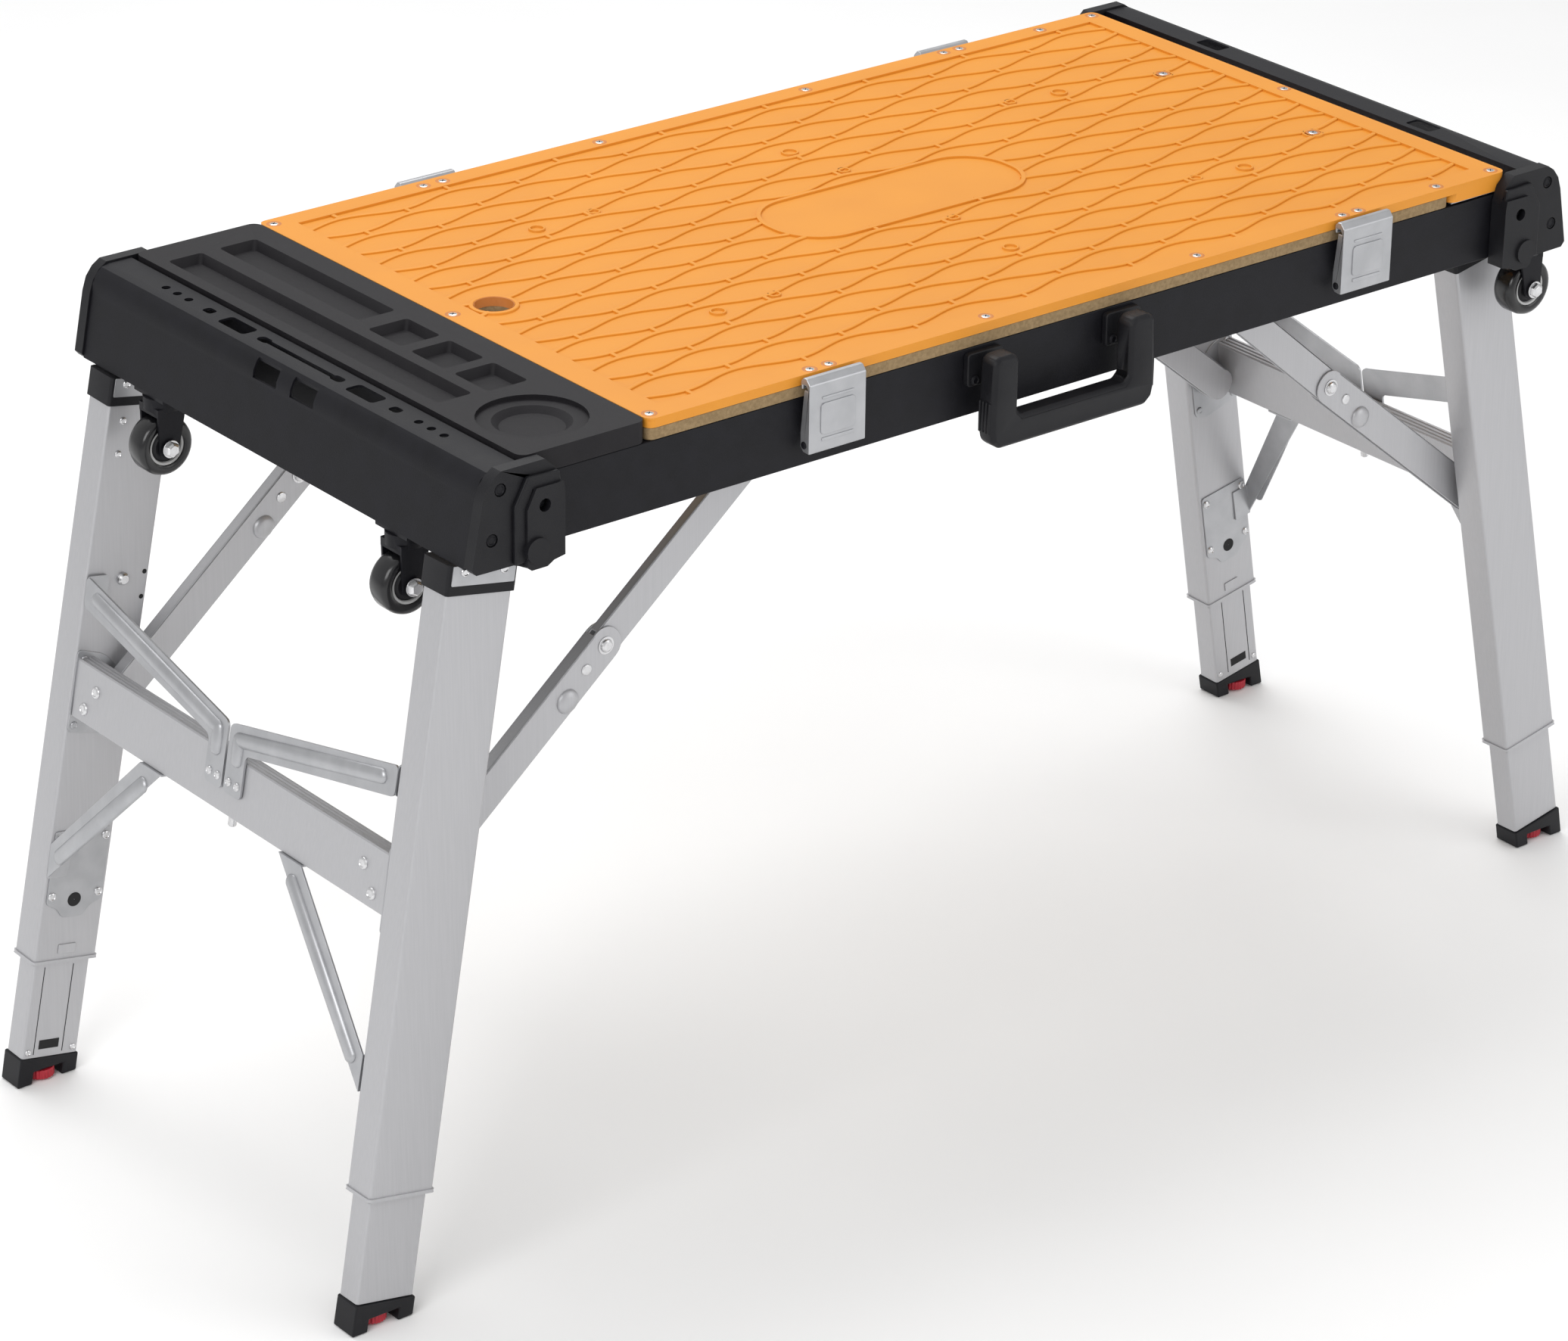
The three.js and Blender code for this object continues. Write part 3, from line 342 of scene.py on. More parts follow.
# %% Corner brackets and their screws
BOLTS = [(449.5, 562.3), (419.6, 546.5), (456.1, 530.6)]
STEP = [(441, 511), (441, 549), (431, 567), (407, 566), (405.5, 557), (427, 557.5), (431.5, 546),
        (431.5, 511)]
STEP_INSET = 7.5 * MM  # from the outer face of the bracket
SCREW_INSET = 7 * MM  # from its inner face
for end, side in CORNERS:
    node = f"corner_bracket_{end}_{side}"
    low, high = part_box(node)
    softened(node, black_plastic, 1.5 * MM, 3, 30)
    step = bmesh.new()
    face_y = high.y - STEP_INSET if ENDS[end] > 0 else low.y + STEP_INSET
    front = facing((0, face_y, 0), (SIDES[side], 0, 0), (0, 0, 1), (0, ENDS[end], 0))
    plate(step, [(x * MM, z * MM) for x, z in STEP], 3.6 * MM, front)
    finished(step, f"bracket_step_{end}_{side}", black_plastic, "frame", "black_plastic", 1.2 * MM, 3, 20)
    deep = low.y + SCREW_INSET if ENDS[end] > 0 else high.y - SCREW_INSET
    screws = bmesh.new()
    for x, z in BOLTS:
        spot = placed((SIDES[side] * x * MM, deep, z * MM), (0, ENDS[end], 0), (1, 0, 0))
        button(screws, 4.1 * MM, 2.2 * MM, spot, hollow=True)
    finished(screws, f"bracket_screws_{end}_{side}", black_paint, "frame", "black_steel")
print("bracket screws:", len(CORNERS) * len(BOLTS))

# %% [markdown]
# The tool tray is one moulding with sunk troughs, pockets and a stepped cup well. Its edges are
# generously rounded so that it leaves the mould and dirt wipes out, so the bevel here is wide. The
# floors of the troughs are drawn in and up a little, which slopes their walls.

# %% Tool tray
FLOOR_DRAW = 0.82  # how much the floor of a deep trough is drawn in
FLOOR_LIFT = 0.62  # how deep a floor ends up, as a share of its measured depth
POCKET_DRAW = 3.2 * MM
tray_low, tray_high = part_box("tool_tray")
shape = copied("tool_tray")
for face in shape.faces:
    depth = tray_high.z - face.calc_center_median().z
    if face.normal.z > 0.9 and 6 * MM < depth < 13 * MM:
        middle = face.calc_center_bounds()
        for vert in face.verts:
            away = (vert.co - middle).xy
            if depth > 10.5 * MM:
                away = away * FLOOR_DRAW
            else:
                away = away - Vector((math.copysign(POCKET_DRAW, away.x), math.copysign(POCKET_DRAW, away.y)))
            vert.co = Vector((middle.x + away.x, middle.y + away.y, tray_high.z - depth * FLOOR_LIFT))
piece = finished(shape, "tool_tray_look", tray_plastic, "frame", "tray_plastic", 1.6 * MM, 4, 25)
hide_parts("tool_tray")
print("tray height:", round(tray_high.z - tray_low.z, 4))

# %% [markdown]
# The deck panel is an orange moulding: a smooth rim round a sunk field with raised wavy ribs. The
# measured panel is flat on top, so its top is let down to the level of the field, and the rim, the
# ribs and the rest are raised on it. The rim is a flat frame of four faces, raised to its height.

# %% Deck panel and its rim
panel_low, panel_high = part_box("deck_panel")
TOP = panel_high.z - 0.3 * MM
FIELD = TOP - 1.6 * MM
base = copied("deck_panel")
for vert in base.verts:
    if vert.co.z > FIELD:
        vert.co.z = FIELD
panel = finished(base, "deck_panel_look", orange, "deck", "orange_plastic")
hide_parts("deck_panel")
FIELD_X = (panel_low.x + 21 * MM, panel_high.x - 18 * MM)
FIELD_Y = (panel_low.y + 18 * MM, panel_high.y - 17 * MM)


def framed(shape, outer_x, outer_y, inner_x, inner_y, corner, z0, z1):
    """A flat frame with rounded outer corners: four faces between two outlines, then raised."""
    part = bmesh.new()
    outer = [part.verts.new((x, y, z0)) for x, y in rectangle(outer_x, outer_y)]
    inner = [part.verts.new((x, y, z0)) for x, y in rectangle(inner_x, inner_y)]
    for i in range(4):
        part.faces.new((outer[i], outer[(i + 1) % 4], inner[(i + 1) % 4], inner[i]))
    bmesh.ops.bevel(part, geom=outer, offset=corner, segments=5, profile=0.5, affect="VERTICES", material=-1)
    bmesh.ops.translate(part, vec=(0, 0, z1 - z0), verts=extruded(part, part.faces[:]))
    gather(shape, part, Matrix())


rim = bmesh.new()
framed(rim, (panel_low.x, panel_high.x), (panel_low.y, panel_high.y), FIELD_X, FIELD_Y, 6 * MM, FIELD, TOP)
finished(rim, "deck_rim", orange, "deck", "orange_plastic", 0.7 * MM, 3)
print("field", [round(v, 4) for v in FIELD_X + FIELD_Y])

# %% [markdown]
# The ribs run along the bench in waves. Neighbouring waves mirror each other, so they leave
# lens-shaped pools between them, and a short tie joins them where they come closest. A curve with a
# thick profile could do it, but a narrow grid bent into a wave gives flat-topped ribs with few faces.

# %% Wavy ribs and their ties
WAVE = 92.5 * MM
CREST_X = panel_low.x + 49 * MM
ROWS = 20
ROW_GAP = 19.5 * MM
SWING = 4.9 * MM
RIB_WIDTH = 3.6 * MM
RIB_MIDDLE = 1.9 * MM
RIB_EDGE = 1.5 * MM
RIB_BASE = FIELD - 0.4 * MM  # ribs, ties and rings start a little under the field
TIE_HALF = 1.5 * MM
TIE_RISE = 1.8 * MM
TIE_LONGEST = 14 * MM
HOLE_ROOM = 15 * MM
mid_y = (FIELD_Y[0] + FIELD_Y[1]) / 2
plaque = Vector((panel_low.x + 375.5 * MM, mid_y + 1.5 * MM))
PLAQUE_HALF = Vector((106 * MM, 40.5 * MM))
hole_x = panel_low.x + 39 * MM


def inside_plaque(x, y, spare=0.0):
    across = max(abs(x - plaque.x) - (PLAQUE_HALF.x - PLAQUE_HALF.y), 0)
    return math.hypot(across, y - plaque.y) < PLAQUE_HALF.y + spare


def kept(x, y):
    return not inside_plaque(x, y, -1 * MM) and math.hypot(x - hole_x, y) > HOLE_ROOM


def wave_y(row, x):
    sign = 1 if row % 2 == 0 else -1
    return mid_y + (9.5 - row) * ROW_GAP + sign * SWING * math.cos(2 * math.pi * (x - CREST_X) / WAVE)


ribs = bmesh.new()
for row in range(ROWS):
    part = bmesh.new()
    bmesh.ops.create_grid(part, x_segments=180, y_segments=3, size=0.5)
    bmesh.ops.scale(part, vec=(FIELD_X[1] - FIELD_X[0], RIB_WIDTH, 1), verts=part.verts)
    bmesh.ops.translate(part, vec=((FIELD_X[0] + FIELD_X[1]) / 2, 0, RIB_BASE), verts=part.verts)
    gone = [f for f in part.faces
            if not kept(f.calc_center_median().x, wave_y(row, f.calc_center_median().x))]
    bmesh.ops.delete(part, geom=gone, context="FACES")
    for vert in extruded(part, part.faces[:]):
        vert.co.z += RIB_MIDDLE if abs(vert.co.y) < 1 * MM else RIB_EDGE
    for vert in part.verts:
        vert.co.y += wave_y(row, vert.co.x)
    gather(ribs, part, Matrix())
ties = 0
for row in range(-1, ROWS):
    first = CREST_X if row % 2 else CREST_X + WAVE / 2
    for step in range(-1, 9):
        x = first + step * WAVE
        high = FIELD_Y[1] if row < 0 else wave_y(row, x)
        low = FIELD_Y[0] if row == ROWS - 1 else wave_y(row + 1, x)
        clear = kept(x, (high + low) / 2) and FIELD_X[0] < x < FIELD_X[1]
        if clear and 0 < high - low < TIE_LONGEST:
            box = rectangle((x - TIE_HALF, x + TIE_HALF), (low, high))
            plate(ribs, box, TIE_RISE, Matrix.Translation((0, 0, RIB_BASE)))
            ties += 1
finished(ribs, "deck_ribs", orange, "deck", "orange_plastic", 0.3 * MM, 1, 60)
print("ribs:", ROWS, "ties:", ties)

# %% [markdown]
# In the middle a long oval plaque with a raised border is left blank. Rings stand round the finger
# hole and on a few small bosses. All of these are round, so they are spun or cut from an outline.

# %% Plaque, rings and bosses
trim = bmesh.new()
lip = bmesh.new()
outline = rectangle((-PLAQUE_HALF.x, PLAQUE_HALF.x), (-PLAQUE_HALF.y, PLAQUE_HALF.y))
corners = [lip.verts.new((x, y, 0)) for x, y in outline]
lip.faces.new(corners)
bmesh.ops.bevel(lip, geom=corners, offset=PLAQUE_HALF.y * 0.93, segments=14, profile=0.5, affect="VERTICES",
                material=-1)
bmesh.ops.inset_region(lip, faces=lip.faces[:], thickness=3.2 * MM, use_boundary=True, use_even_offset=True)
bmesh.ops.delete(lip, geom=[max(lip.faces, key=lambda f: f.calc_area())], context="FACES")
bmesh.ops.translate(lip, vec=(0, 0, 2.0 * MM), verts=extruded(lip, lip.faces[:]))
gather(trim, lip, Matrix.Translation((plaque.x, plaque.y, RIB_BASE)))
ring = [(13.5 * MM, 0), (16.8 * MM, 0), (16.5 * MM, 1.7 * MM), (15.9 * MM, 2.0 * MM), (14 * MM, 2.0 * MM),
        (13.5 * MM, 1.7 * MM)]
turned(trim, ring, Matrix.Translation((hole_x, 0, RIB_BASE)))
BOSSES = [(374, 112, 6.5), (194, 99, 5), (566, 100, 5), (608, 95, 6.5), (381, 61, 5), (382, -55, 5),
          (196, -94, 5), (566, -96, 5), (608, -100, 6.5), (376, -121, 6), (144, 96, 6), (148, -96, 6),
          (694, 79, 8), (694, -78, 8)]
for x, y, r in BOSSES:
    ring = [((r - 2) * MM, 0), (r * MM, 0), ((r - 0.4) * MM, 1.9 * MM), ((r - 1.6) * MM, 1.9 * MM)]
    turned(trim, ring, Matrix.Translation((panel_low.x + x * MM, y * MM, RIB_BASE)), 24)
finished(trim, "deck_plaque_and_rings", orange, "deck", "orange_plastic", 0.3 * MM, 2)
print("bosses:", len(BOSSES))

# %% [markdown]
# Zinc pan-head screws hold the panel down. Each sits in a shallow round seat with a cross slot in its head.
# The seat is painted shade, a darker orange ring round the head, and the cross slot is painted shade too, two
# thin dark bars laid on it.

# %% Deck screws
SCREWS = [(7, 207), (130, 207.5), (146, 207.5), (279, 206), (464, 206.5), (596.5, 210), (611.5, 210),
          (687, 207), (740, 209), (742, 2.5), (739, -208.5), (686, -209), (610, -211), (595, -211),
          (464, -208.5), (280, -208), (147.5, -210.5), (132, -210.5), (7, -207.5), (7, 1), (694, 79),
          (694, -78)]
heads = bmesh.new()
seats = bmesh.new()
slots = bmesh.new()
for x, y in SCREWS:
    spot = Vector((panel_low.x + x * MM, y * MM, TOP - 1.1 * MM))
    button(heads, 3.7 * MM, 1.32 * MM, Matrix.Translation(spot), sides=16)
    # The seat ring is painted shade: a darker orange ring laid round the head.
    ring = [(3.5 * MM, 1.1 * MM), (5.2 * MM, 1.1 * MM), (4.9 * MM, 1.22 * MM), (3.8 * MM, 1.18 * MM)]
    turned(seats, ring, Matrix.Translation(spot), 24)
    # The cross slot is painted shade: two thin near-black bars laid on the head.
    for turn in (45, 135):
        lifted = Matrix.Translation(spot + Vector((0, 0, 1.14 * MM)))
        cross = lifted @ Matrix.Rotation(math.radians(turn), 4, "Z")
        plate(slots, rectangle((-1.9 * MM, 1.9 * MM), (-0.3 * MM, 0.3 * MM)), 0.25 * MM, cross)
# This darker orange is painted shade, for the sunk seats round the screws and the wall of the finger hole.
deep_orange = finish("orange_painted_shade", (0.50, 0.16, 0.025), (0.56, 0.19, 0.032), 0.5, 0, 60, 1500, 0.1)
finished(heads, "deck_screw_heads", steel, "deck", "zinc_steel")
finished(seats, "deck_screw_seat_shade", deep_orange, "deck", "orange_plastic")
finished(slots, "deck_screw_slot_shade", dark_gap, "deck", "black_steel")
print("deck screws:", len(SCREWS))

# %% [markdown]
# Under the panel lies a fibreboard, raw on its edges, and a darker orange sleeve, painted shade, stands for
# the shaded wall of the finger hole. Where the panel's deeper end begins a thin zinc strip shows under it.

# %% Board, painted shade in the finger hole and strip
softened("deck_board", board_face, 0.5 * MM)
board_low, board_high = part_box("deck_board")
# The sleeve in the finger hole is painted shade: a darker orange ring standing for the shaded wall of the
# hole.
liner = bmesh.new()
wall = [(12.9 * MM, panel_low.z + 6 * MM), (13.4 * MM, panel_low.z + 6 * MM), (13.4 * MM, FIELD + 1.5 * MM),
        (12.9 * MM, FIELD + 1.2 * MM)]
turned(liner, wall, Matrix.Translation((hole_x, 0, 0)), 40)
finished(liner, "finger_hole_wall_shade", deep_orange, "deck", "orange_plastic")
strip = bmesh.new()
low_lip = Matrix.Translation((0, 0, panel_low.z - 0.9 * MM))
strip_x = (board_high.x + 2 * MM, panel_high.x - 4 * MM)
strip_y = (rail_low.y + 0.6 * MM, rail_low.y + 18 * MM)
plate(strip, rectangle(strip_x, strip_y), 0.7 * MM, low_lip)
finished(strip, "deck_end_strip", zinc, "deck", "zinc_steel")
print("board thickness:", round(board_high.z - board_low.z, 4))

# %% [markdown]
# A latch cover is a pressed zinc lid on a low pin. The measured solid is its shell, and the pressed
# panels are raised on its face: a square field, a ledge above and one below. A black pin end shows
# low on the side.

# %% Latches
for end, side in CORNERS:
    node = f"latch_cover_{end}_{side}"
    softened(node, zinc, 1.1 * MM, 3)
    low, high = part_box(node)
    way = ENDS[end]
    face_y = low.y if way < 0 else high.y
    mid = (low.x + high.x) / 2
    marks = bmesh.new()
    look = placed((mid, face_y, low.z), (0, way, 0), (-way, 0, 0))
    look = look @ Matrix.Translation((0, 0, -0.4 * MM))
    plate(marks, rectangle((-14 * MM, 14 * MM), (11.5 * MM, 33 * MM)), 1.3 * MM, look, 3 * MM)
    plate(marks, rectangle((-13 * MM, 13 * MM), (35.6 * MM, 37.4 * MM)), 1.1 * MM, look, 0.7 * MM)
    plate(marks, rectangle((-13 * MM, 13 * MM), (7 * MM, 9.4 * MM)), 1.1 * MM, look, 0.9 * MM)
    finished(marks, f"latch_panel_{end}_{side}", zinc, body_of[node], "zinc_steel", 0.45 * MM, 3)
    pins = bmesh.new()
    for out in (-1, 1):
        x = (low.x if out < 0 else high.x) - out * 0.4 * MM
        pin_y = joints[f"latch_open_{end}_{side}"]["pos_m"][1]
        spot = placed((x, pin_y, low.z + 5 * MM), (out, 0, 0), (0, 1, 0))
        button(pins, 2.6 * MM, 1.4 * MM, spot, sides=14)
    finished(pins, f"latch_pin_{end}_{side}", black_paint, body_of[node], "black_steel")
print("latches:", len(CORNERS), "width", round(high.x - low.x, 4))

# %% [markdown]
# The carrying handle is a thick black moulding, round to the hand, so its edges get a wide bevel.
# Behind each arm a bracket plate is screwed to the rail. The real bracket reaches out to the hinge.
# This plate doesn't, so some air is left between it and the arm, and the cell prints how much.

# %% Handle and its brackets
softened("carry_handle", black_plastic, 4.2 * MM, 5, 30)
hinge = Vector(joints["handle_swing"]["pos_m"])
grip_low, grip_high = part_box("carry_handle")
BRACKET_THICK = 5 * MM
brackets = bmesh.new()
bolts = bmesh.new()
for way in (-1, 1):
    middle = way * 59.5 * MM
    spot = placed((middle, rail_low.y, hinge.z - 4 * MM), (0, -1, 0), (1, 0, 0))
    plate(brackets, rectangle((-15 * MM, 15 * MM), (-13 * MM, 10 * MM)), BRACKET_THICK, spot, 3 * MM)
    for x in (-13.6, 13.6):
        screw = spot @ Matrix.Translation((x * 0.7 * MM, -8.5 * MM, BRACKET_THICK))
        button(bolts, 3.2 * MM, 2 * MM, screw, hollow=True)
finished(brackets, "handle_brackets", black_plastic, "frame", "black_plastic", 1 * MM, 3)
finished(bolts, "handle_bracket_screws", black_paint, "frame", "black_steel")
ridges = bmesh.new()
for way in (-1, 1):
    for y in (-4.6, -1.5, 1.6, 4.7):
        outer = grip_high.x if way > 0 else grip_low.x
        start = (outer - way * 0.6 * MM, hinge.y + y * MM, grip_low.z + 22 * MM)
        spot = placed(start, (way, 0, 0), (0, 0, 1))
        bead(ridges, 22 * MM, 2.0 * MM, 1.3 * MM, spot)
finished(ridges, "handle_ridges", black_plastic, "handle", "black_plastic")
behind = rail_low.y - grip_high.y
print("behind the handle:", round(behind, 4), "left over the plates:", round(behind - BRACKET_THICK, 4))

# %% [markdown]
# A caster wheel is spun: a glossy hard tread with rounded shoulders, a pale ring in its hub and a
# dark bearing cover. A lathe profile is how such a wheel is really drawn, so spin is the natural way.

# %% Caster wheels
TREAD = [(13.2, -8.2), (15.4, -9), (17.6, -8.9), (19.5, -7.6), (20.4, -5), (20.4, 5), (19.5, 7.6),
         (17.6, 8.9), (15.4, 9), (13.2, 8.2)]
RING = [(10.8, -6.2), (11.4, -7.6), (12.8, -8.0), (13.3, -7.4), (13.3, 7.4), (12.8, 8.0), (11.4, 7.6),
        (10.8, 6.2)]
COVER = [(4.4, -8), (8.6, -8), (9.6, -7), (10.9, -6.4), (10.9, 6.4), (9.6, 7), (8.6, 8), (4.4, 8)]
WHEEL_PARTS = (("tread", TREAD, tread, "caster_tread"), ("ring", RING, hub_plastic, "silver_paint"),
               ("cover", COVER, black_plastic, "black_plastic"))
for end, side in CORNERS:
    centre = Vector(joints[f"caster_roll_{end}_{side}"]["pos_m"])
    spot = placed(centre, (0, 1, 0), (1, 0, 0))
    body = f"wheel_{end}_{side}"
    for name, profile, material, slot in WHEEL_PARTS:
        wheel = bmesh.new()
        turned(wheel, [(r * MM, h * MM) for r, h in profile], spot)
        piece = finished(wheel, f"caster_{name}_{end}_{side}", material, body, slot, angle=40)
        if name == "tread":
            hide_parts(f"caster_wheel_{end}_{side}")
print("caster wheels:", len(CORNERS), "radius in mm", max(radius for radius, height in TREAD))

# %% [markdown]
# The fork is pressed steel in black, with a washer and a hexagon on both ends of its axle: the head
# of the bolt and its nut look alike. A hexagon is a button of six sides.

# %% Forks and axle bolts
WASHER = [(3.2 * MM, -0.3 * MM), (6.2 * MM, -0.3 * MM), (6.2 * MM, 0.5 * MM), (3.2 * MM, 0.5 * MM)]
for end, side in CORNERS:
    node = f"caster_fork_{end}_{side}"
    softened(node, black_paint, 0.8 * MM, 3)
    low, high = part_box(node)
    centre = Vector(joints[f"caster_roll_{end}_{side}"]["pos_m"])
    bolts = bmesh.new()
    for way in (-1, 1):
        y = low.y if way < 0 else high.y
        spot = placed((centre.x, y, centre.z), (0, way, 0), (1, 0, 0))
        turned(bolts, WASHER, spot, 24)
        button(bolts, 5.6 * MM, 4.2 * MM, spot, sides=6)
    finished(bolts, f"caster_bolt_{end}_{side}", steel, body_of[node], "zinc_steel", 0.3 * MM, 2)
print("caster forks:", len(CORNERS), "width", round(high.y - low.y, 4))

# %% [markdown]
# The legs are rectangular tubes that telescope. Each leg frame leans out, so its details are placed
# in the leg's own axes: across the leg, through it and along it. The matrices come from the joints.

# %% Axes of the leg frames
LEG_OUT = 18 * MM  # from the hinge line to the middle of the leg
LEG_HALF = 12.5  # half a leg's thickness, in millimetres
FLARE = math.radians(1.3)


def frame_place(side):
    axis = joints[f"leg_draw_front_{side}"]["axis"]
    lean = Matrix.Rotation(math.atan2(axis[0], axis[2]), 4, "Y")
    return Matrix.Translation(joints[f"leg_fold_{side}"]["pos_m"]) @ lean


def leg_place(end, side):
    """The middle line of a leg at its hinge: X outboard or inboard as in the world, Z up along the leg."""
    hang = Vector((SIDES[side] * LEG_OUT, joints[f"brace_fold_up_{end}_{side}"]["pos_m"][1], 0))
    return frame_place(side) @ Matrix.Translation(hang) @ Matrix.Rotation(ENDS[end] * FLARE, 4, "X")


def on_leg(end, side, out, down, lift=0.0, inward=1):
    """A place on a wide face of a leg: out is outboard of its middle, down is from the hinge line."""
    normal = -inward * ENDS[end]
    origin = (SIDES[side] * out * MM, normal * (LEG_HALF * MM + lift), -down * MM)
    return leg_place(end, side) @ facing(origin, (SIDES[side], 0, 0), (0, 0, 1), (0, normal, 0))


print("hinge lines at x:", [round(joints[f"leg_fold_{side}"]["pos_m"][0], 4) for side in SIDES])

# %% [markdown]
# Leg tubes, caps, extensions and feet take their outlines from the measured solids. On each inner
# face there are rivets, a lock hole plate, a stamped tab and the spring button of the extension.
# A zinc hinge plate with two rivets shows on both wide faces of the cap, over its black band, and a
# thin lip runs round the bottom of the outer tube.

# %% Legs
INNER_LIFT = -2.75 * MM  # the extension's wide face lies this far inside the tube's
for end, side in CORNERS:
    softened(f"leg_tube_{end}_{side}", silver, 0.5 * MM, 2, 30)
    softened(f"leg_extension_{end}_{side}", silver, 0.4 * MM, 2, 30)
    softened(f"leg_cap_{end}_{side}", black_plastic, 0.5 * MM, 2, 30)
    axis = joints[f"leg_draw_{end}_{side}"]["axis"]
    splay = math.atan2(abs(axis[0]), axis[2])
    length = (joints[f"leg_fold_{side}"]["pos_m"][2] + LEG_OUT * math.sin(splay)) / math.cos(splay)
    low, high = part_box(f"foot_{end}_{side}")
    sole = [(x * MM, x * MM * -math.tan(splay) + rise * MM) for x, rise in
            ((-23.2, 0.02), (-11.5, 0.02), (-11.5, 8.9), (11.5, 8.9), (11.5, 0.02), (23.2, 0.02))]
    boot = bmesh.new()
    boot_y = (low.y + high.y) / 2 + 11 * MM
    level = facing((SIDES[side] * LEG_OUT, boot_y, -length), (SIDES[side], 0, 0), (0, 0, 1), (0, -1, 0))
    plate(boot, sole + [(23.2 * MM, 17.7 * MM), (-23.2 * MM, 17.7 * MM)], 22 * MM, frame_place(side) @ level)
    piece = finished(boot, f"foot_{end}_{side}_look", black_plastic, body_of[f"foot_{end}_{side}"],
                     "black_plastic", 1.2 * MM, 3, 30)
    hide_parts(f"foot_{end}_{side}")
    softened(f"level_wheel_{end}_{side}", red_plastic, 0.3 * MM, 2, 20)
    fixed = body_of[f"leg_tube_{end}_{side}"]
    plates = bmesh.new()
    points = [(-22, 52), (22, 52), (22, -2), (13, -6), (8, -13), (-8, -13), (-13, -6), (-22, -2)]
    plate(plates, [(x * MM, y * MM) for x, y in points], 1.2 * MM, on_leg(end, side, 0, 393), 2.5 * MM)
    finished(plates, f"lock_plate_{end}_{side}", zinc, fixed, "zinc_steel", 0.3 * MM, 2)
    rivets = bmesh.new()
    for out, down in ((-18.3, 347), (18.5, 347), (-18.5, 389), (18.5, 389)):
        button(rivets, 3.1 * MM, 1.6 * MM, on_leg(end, side, out, down, 1.2 * MM), hollow=True)
    hinge_plates = bmesh.new()
    for inward in (-1, 1):
        for out in (-15, 15):
            button(rivets, 3 * MM, 1.4 * MM, on_leg(end, side, out, 20.5, 2.2 * MM, inward), hollow=True)
        flat = on_leg(end, side, 0, 0, 1.5 * MM, inward)
        plate(hinge_plates, rectangle((-24 * MM, 24 * MM), (-29.5 * MM, -16.5 * MM)), 0.8 * MM, flat, 1 * MM)
    finished(hinge_plates, f"hinge_plates_{end}_{side}", zinc, fixed, "zinc_steel", 0.2 * MM, 2)
    lips = bmesh.new()
    framed(lips, (-26 * MM, 26 * MM), (-13.5 * MM, 13.5 * MM), (-24.6 * MM, 24.6 * MM),
           (-12.1 * MM, 12.1 * MM), 3 * MM, -440 * MM, -437.6 * MM)
    bmesh.ops.transform(lips, matrix=leg_place(end, side), verts=lips.verts)
    finished(lips, f"leg_lip_{end}_{side}", silver, fixed, "silver_paint", 0.4 * MM, 2)
    for out, down in ((12.6, 47), (12.9, 70.5)):
        button(rivets, 2.6 * MM, 1.3 * MM, on_leg(end, side, out, down), hollow=True)
    button(rivets, 4.6 * MM, 3.4 * MM, on_leg(end, side, -4.1, 159.6))
    finished(rivets, f"leg_rivets_{end}_{side}", steel, fixed, "zinc_steel")
    # The lock hole and two small holes are painted shade: near-black discs laid on the leg face where the
    # holes are.
    dark = bmesh.new()
    turned(dark, [(0.3 * MM, 0), (5.2 * MM, 0), (5.2 * MM, 0.3 * MM), (0.3 * MM, 0.3 * MM)],
           on_leg(end, side, 0, 393, 1.1 * MM), 32)
    for out, down in ((-21.2, 156), (-21.2, 174)):
        turned(dark, [(0.1 * MM, 0), (1.7 * MM, 0), (1.7 * MM, 0.2 * MM), (0.1 * MM, 0.2 * MM)],
               on_leg(end, side, out, down, -0.05 * MM), 16)
    finished(dark, f"leg_hole_shade_{end}_{side}", dark_gap, fixed, "black_steel")
    inner = body_of[f"leg_extension_{end}_{side}"]
    # The extension's window and its two grooves are painted shade: a near-black patch and two near-black
    # lines.
    window = bmesh.new()
    opening = rectangle((-8 * MM, 8 * MM), (-3.4 * MM, 3.4 * MM))
    plate(window, opening, 0.15 * MM, on_leg(end, side, 2, 503, INNER_LIFT))
    for out in (-9.5, 13.5):
        groove = rectangle((-0.3 * MM, 0.3 * MM), (-33 * MM, 33 * MM))
        plate(window, groove, 0.12 * MM, on_leg(end, side, out, 477, INNER_LIFT))
    finished(window, f"extension_window_{end}_{side}", dark_gap, inner, "black_steel")
    pins = bmesh.new()
    for out in (-18, 18):
        button(pins, 2.3 * MM, 1 * MM, on_leg(end, side, out, 508, INNER_LIFT), hollow=True)
    finished(pins, f"extension_rivets_{end}_{side}", steel, inner, "zinc_steel")
    ends = bmesh.new()
    points = [(-20, -268), (-10, -272), (24, -268), (24, -208), (2, -213), (-20, -232)]
    plate(ends, [(x * MM, y * MM) for x, y in points], 1.1 * MM, on_leg(end, side, 0, 0), 4 * MM)
    for out, down in ((18, 215.5), (19.5, 263), (-15.5, 263)):
        button(ends, 2.8 * MM, 1.3 * MM, on_leg(end, side, out, down, 1.1 * MM), hollow=True)
    finished(ends, f"rung_end_plate_{end}_{side}", zinc, fixed, "zinc_steel", 0.25 * MM, 2)
    tab = bmesh.new()
    stamped = rectangle((-7 * MM, 7 * MM), (-3.5 * MM, 3.5 * MM))
    plate(tab, stamped, 0.9 * MM, on_leg(end, side, 0, 430), 0.8 * MM)
    finished(tab, f"leg_tab_{end}_{side}", silver, fixed, "silver_paint", 0.3 * MM, 2)
print("from the hinge line to the floor along a leg:", round(length, 4))

# %% [markdown]
# The rung is a bar with ribs on top for the foot, as measured. Pulled rivets hold it at both ends.
# The plate that shows between its end and the leg was made with the legs.

